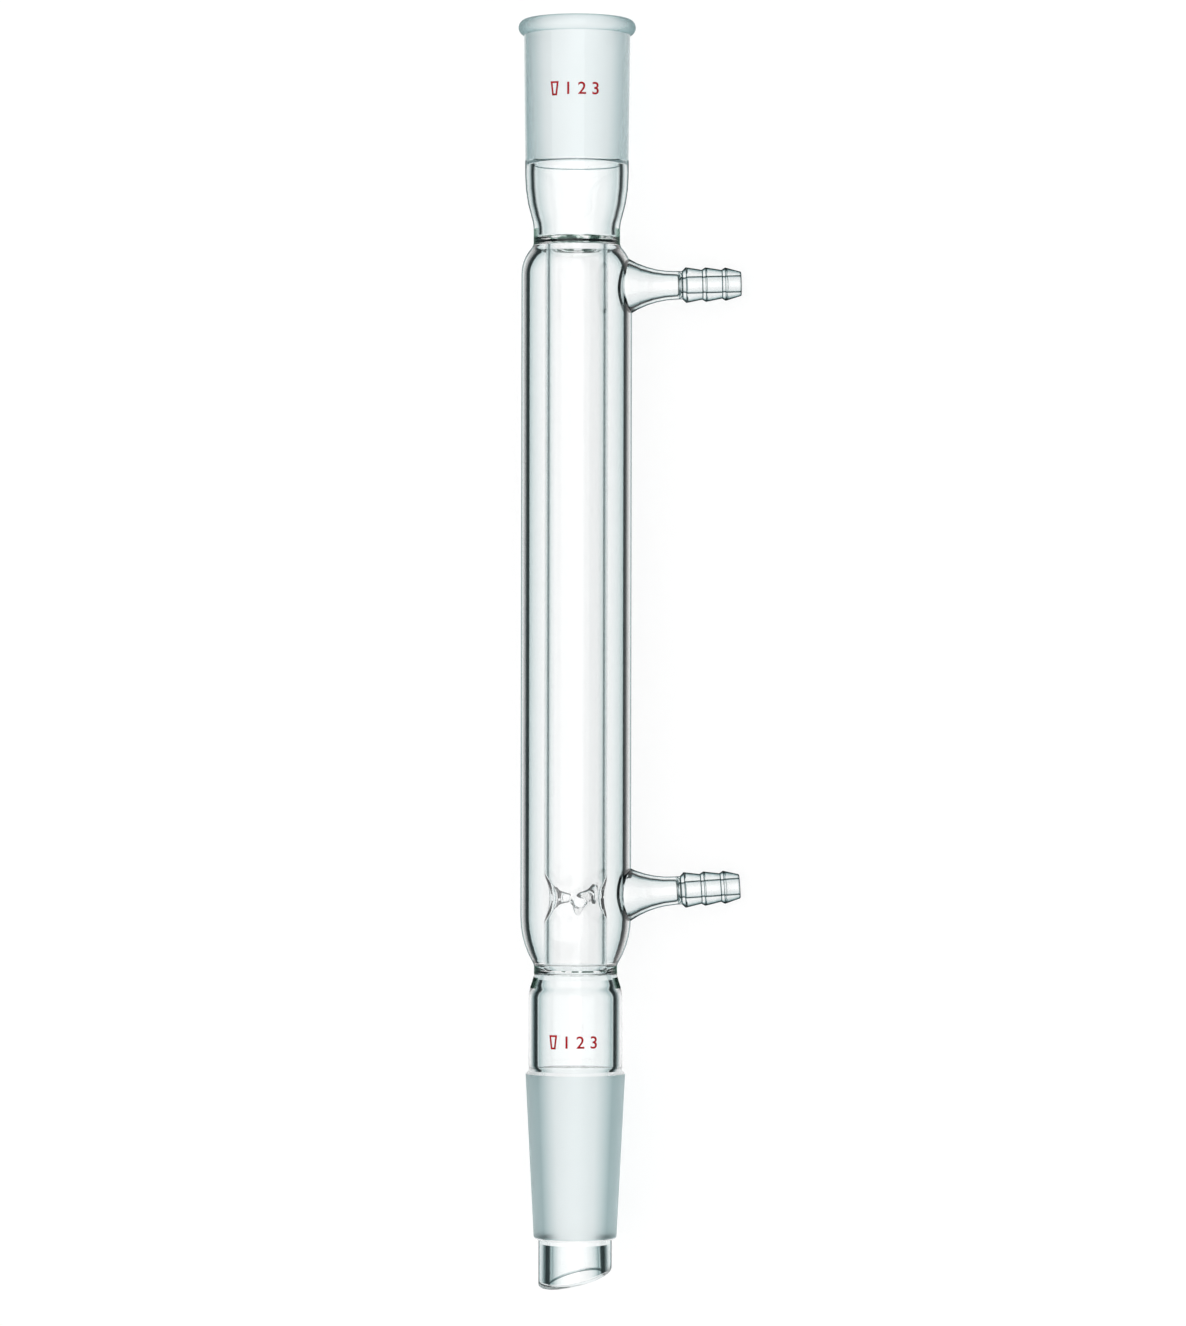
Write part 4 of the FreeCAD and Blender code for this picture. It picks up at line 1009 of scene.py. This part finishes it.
class COLUMN_OT_glass(Operator):
    """Blow the glass column: tube, jacket, ports and indents fused into one piece"""

    bl_idname = "column.glass"
    bl_label = "Glass column"

    def execute(self, context):
        scene = context.scene
        s, p, d, looks = scene.glass_sizes, scene.port_sizes, scene.indent_sizes, scene.column_looks
        at = heights(s, d)
        make_finishes(looks)
        column = tube_glass(s, d, at)
        ports = (("lower", at.jacket_low + p.lower_height, p.lower_tilt),
                 ("upper", at.jacket_high - p.upper_drop, p.upper_tilt))
        glass, hollows = [], [jacket_space(s, d, at)]
        for side, height, tilt in ports:
            place = Matrix.Translation((0, 0, height)) @ axis_turn(0, tilt)
            glass.append(port_glass(side + "_port", s, p, place))
            hollows.append(port_hollow(side + "_port_bore", s, p, place))
        combine(column, glass, "UNION")
        combine(column, hollows, "DIFFERENCE")
        tidy(column)
        column.name = "column_glass"
        column.data.name = "column_glass"
        place = lay_down([column], looks)
        scene["column_place"] = [value for row in place for value in row]
        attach(column, "root")
        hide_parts(NODE)
        return {"FINISHED"}


def choose(tree, usual, mirrored, seen):
    """Pick a colour: the usual one, one for clear mirrors in glass and one for what is seen."""
    path = add_node(tree, "ShaderNodeLightPath").outputs
    through = maths(tree, "MAXIMUM", path["Is Camera Ray"], path["Is Transmission Ray"])
    glossy = maths(tree, "MULTIPLY", path["Is Singular Ray"], path["Is Reflection Ray"])
    low = add_node(tree, "ShaderNodeMix", {"data_type": "RGBA"}, {0: glossy})
    high = add_node(tree, "ShaderNodeMix", {"data_type": "RGBA"},
                    {0: through, 6: low.outputs[2]})
    for socket, colour in ((low.inputs[6], usual), (low.inputs[7], mirrored),
                           (high.inputs[7], seen)):
        if isinstance(colour, bpy.types.NodeSocket):
            tree.links.new(colour, socket)
        else:
            socket.default_value = (*colour, 1)
    return high.outputs[2]


def numbers_flat(m):
    """Set the numbers flat, to their height and length."""
    curve = bpy.data.curves.new("numbers", "FONT")
    curve.body, curve.size = m.numbers, 1.0
    curve.resolution_u = 5
    setting = put("numbers", curve)
    mesh = bpy.data.meshes.new_from_object(
        setting.evaluated_get(bpy.context.evaluated_depsgraph_get()))
    bpy.data.objects.remove(setting)
    bpy.data.curves.remove(curve)
    bm = bmesh.new()
    bm.from_mesh(mesh)
    bpy.data.meshes.remove(mesh)
    bmesh.ops.remove_doubles(bm, verts=bm.verts[:], dist=LETTER_WELD)
    thicken(bm, PEN)
    fit_flat(bm, m.digits_width, m.digits_height, m.digits_aside)
    return bm


def thicken(bm, size):
    """Widen the strokes of a flat mark by moving its edge outwards."""
    moved = {}
    for vert in bm.verts:
        outward = Vector()
        for edge in vert.link_edges:
            if edge.is_boundary:
                run = edge.verts[1].co - edge.verts[0].co
                side = Vector((run.y, -run.x, 0)).normalized()
                inside = edge.link_faces[0].calc_center_median() - edge.verts[0].co
                outward += side if side.dot(inside) < 0 else -side
        if outward.length > FOLD:
            moved[vert] = outward.normalized() * size * 2 / outward.length
    for vert, step in moved.items():
        vert.co += step


def sign_flat(m):
    """Draw the outline of a small cone that tapers downwards."""
    bm = bmesh.new()
    bmesh.ops.create_grid(bm, x_segments=1, y_segments=1, size=0.5)
    for vert in bm.verts:
        vert.co.x *= m.sign_width * (1 if vert.co.y > 0 else CONE_SIGN)
        vert.co.y *= m.sign_height
    middle = bm.faces[:]
    bmesh.ops.inset_region(bm, faces=middle, thickness=m.line, use_boundary=True,
                           use_even_offset=True)
    bmesh.ops.delete(bm, geom=middle, context="FACES")
    fit_flat(bm, m.sign_width, m.sign_height, -m.sign_aside)
    return bm


def fit_flat(bm, width, height, aside):
    """Scale a flat mark to its width and height and set it beside the front."""
    low = [min(v.co[i] for v in bm.verts) for i in (0, 1)]
    high = [max(v.co[i] for v in bm.verts) for i in (0, 1)]
    for vert in bm.verts:
        vert.co.x = aside + ((vert.co.x - low[0]) / (high[0] - low[0]) - 0.5) * width
        vert.co.y = ((vert.co.y - low[1]) / (high[1] - low[1]) - 0.5) * height


def print_mark(name, bm, radius, height, m, place):
    """Wrap a flat mark round the front of the glass, with the thickness of the print."""
    left, right = (pick(v.co.x for v in bm.verts) for pick in (min, max))
    for cut in range(1, int((right - left) / WRAP_STEP) + 1):
        bmesh.ops.bisect_plane(bm, geom=bm.verts[:] + bm.edges[:] + bm.faces[:], dist=0,
                               plane_co=(left + cut * WRAP_STEP, 0, 0), plane_no=(1, 0, 0))
    for vert in bm.verts:
        turn = vert.co.x / radius
        vert.co = (radius * math.sin(turn), -radius * math.cos(turn), height + vert.co.y)
    raised = bmesh.ops.extrude_face_region(bm, geom=bm.faces[:])["geom"]
    for vert in raised:
        if isinstance(vert, bmesh.types.BMVert):
            vert.co.xy *= (radius + m.print) / radius
    turn_outwards(bm)
    bmesh.ops.transform(bm, matrix=place, verts=bm.verts[:])
    mark = put(name, mesh_of(name, bm))
    mark.data.materials.append(bpy.data.materials["red_enamel"])
    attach(mark, "root")


class COLUMN_OT_marks(Operator):
    """Print plain numbers on the socket and on the stem, with a small cone beside them"""

    bl_idname = "column.marks"
    bl_label = "Printed marks"

    def execute(self, context):
        s, m = context.scene.glass_sizes, context.scene.mark_sizes
        place = column_place(context.scene)
        for joint, width, height in (("socket", s.socket_od, m.socket_height),
                                     ("stem", s.stem_od, m.stem_height)):
            for kind, flat in (("numbers", numbers_flat), ("cone", sign_flat)):
                print_mark(f"{joint}_{kind}", flat(m), width / 2 + PRINT_GAP, height, m, place)
        return {"FINISHED"}


class COLUMN_OT_stage(Operator):
    """Set up the pale bench, the soft light and the camera"""

    bl_idname = "column.stage"
    bl_label = "Bench, light and camera"

    def execute(self, context):
        scene = context.scene
        t, looks = scene.stage_settings, scene.column_looks
        bm = bmesh.new()
        bmesh.ops.create_grid(bm, x_segments=1, y_segments=1, size=BENCH,
                              matrix=Matrix.Translation((0, 0, -BENCH_GAP)))
        bench = put("bench", mesh_of("bench", bm))

        # Bench: a white board, lit so evenly that only a trace of the shade shows
        white, tree = material("bench_white")
        paper, none, full = tuple(t.backdrop), (0, 0, 0), (1, 1, 1)
        # In the glass's clear mirrors the bench shows a painted dim reflection: white paper near the
        # column, darkening beyond it to the mirrored colour
        aside = column_place(scene).translation.x - t.paper_aside
        spot = add_node(tree, "ShaderNodeTexCoord")
        across = add_node(tree, "ShaderNodeSeparateXYZ", links={"Vector": spot.outputs["Object"]})
        away = maths(tree, "ABSOLUTE", maths(tree, "SUBTRACT", across.outputs["X"], aside))
        near = add_node(tree, "ShaderNodeMapRange", {
            "From Min": t.paper, "From Max": t.paper + t.paper_fade, "To Min": 1.0, "To Max": 0.0},
            {"Value": away})
        painted_mirror_sheet = add_node(tree, "ShaderNodeMix", {"data_type": "RGBA", 6: (*t.mirrored, 1),
                                                 7: (*paper, 1)}, {0: near})
        cloth = add_node(tree, "ShaderNodeBsdfDiffuse", {"Color": (*paper, 1)})
        glow = add_node(tree, "ShaderNodeEmission", links={
            "Color": choose(tree, paper, painted_mirror_sheet.outputs[2], paper)})
        mix = add_node(tree, "ShaderNodeMixShader", links={
            0: choose(tree, none, full, (1 - t.shadow,) * 3), 1: cloth, 2: glow})
        add_node(tree, "ShaderNodeOutputMaterial", links={"Surface": mix})
        bench.data.materials.append(white)

        world = bpy.data.worlds.new("studio")
        world.use_nodes = True
        tree = world.node_tree
        tree.nodes.clear()
        # Sky: white where seen straight or through the glass, its own strength of light elsewhere, and
        # a painted dim reflection in the glass's clear mirrors
        light = tuple(t.sky * part for part in paper)
        sky = add_node(tree, "ShaderNodeBackground", links={
            "Color": choose(tree, light, t.mirrored, paper)})
        add_node(tree, "ShaderNodeOutputWorld", links={"Surface": sky})
        scene.world = world

        lamp = bpy.data.lights.new("key_lamp", "AREA")
        lamp.energy, lamp.size = t.key, t.key_size
        put("key_lamp", lamp).location = LAMP_PLACE

        place = column_place(scene)
        centre = place @ Vector((0, 0, t.aim))
        towards = Vector((math.sin(looks.roll), 0, math.cos(looks.roll)))
        right = Vector((math.cos(looks.roll), 0, -math.sin(looks.roll)))
        view = bpy.data.cameras.new("camera")
        view.sensor_fit, view.sensor_width, view.lens = "HORIZONTAL", 36.0, t.lens
        view.shift_y = t.rise
        view.clip_start, view.clip_end = 0.05, 20.0
        camera = put("camera", view)
        turn = Matrix((right, (0, 1, 0), towards)).transposed().to_4x4()
        camera.matrix_world = (Matrix.Translation(centre + towards * t.distance + right * t.aside)
                               @ turn @ Matrix.Rotation(t.lean, 4, "Z"))
        scene.camera = camera
        scene.view_settings.view_transform = "Standard"
        return {"FINISHED"}


class COLUMN_PT_panel(Panel):
    """List the column's steps and settings in the sidebar"""

    bl_idname = "COLUMN_PT_panel"
    bl_label = "Distillation column"
    bl_space_type = "VIEW_3D"
    bl_region_type = "UI"
    bl_category = "Column"

    def draw(self, context):
        for step in STEPS:
            self.layout.operator(step.bl_idname)
        for name in GROUPS:
            box = self.layout.box()
            group = getattr(context.scene, name)
            box.label(text=name.replace("_", " ").capitalize())
            for prop in group.bl_rna.properties:
                if prop.identifier not in ("rna_type", "name"):
                    box.prop(group, prop.identifier)


STEPS = (COLUMN_OT_glass, COLUMN_OT_marks, COLUMN_OT_stage)
GROUPS = {"glass_sizes": GlassSizes, "port_sizes": PortSizes, "indent_sizes": IndentSizes,
          "mark_sizes": MarkSizes, "column_looks": ColumnLooks,
          "stage_settings": StageSettings}
CLASSES = (*GROUPS.values(), *STEPS, COLUMN_PT_panel)


def register():
    for item in CLASSES:
        bpy.utils.register_class(item)
    for name, group in GROUPS.items():
        setattr(bpy.types.Scene, name, PointerProperty(type=group))


def unregister():
    for name in GROUPS:
        delattr(bpy.types.Scene, name)
    for item in reversed(CLASSES):
        bpy.utils.unregister_class(item)


def main():
    """Register and build every piece in order."""
    register()
    bpy.ops.column.glass()
    bpy.ops.column.marks()
    bpy.ops.column.stage()


if __name__ == "__main__":
    main()
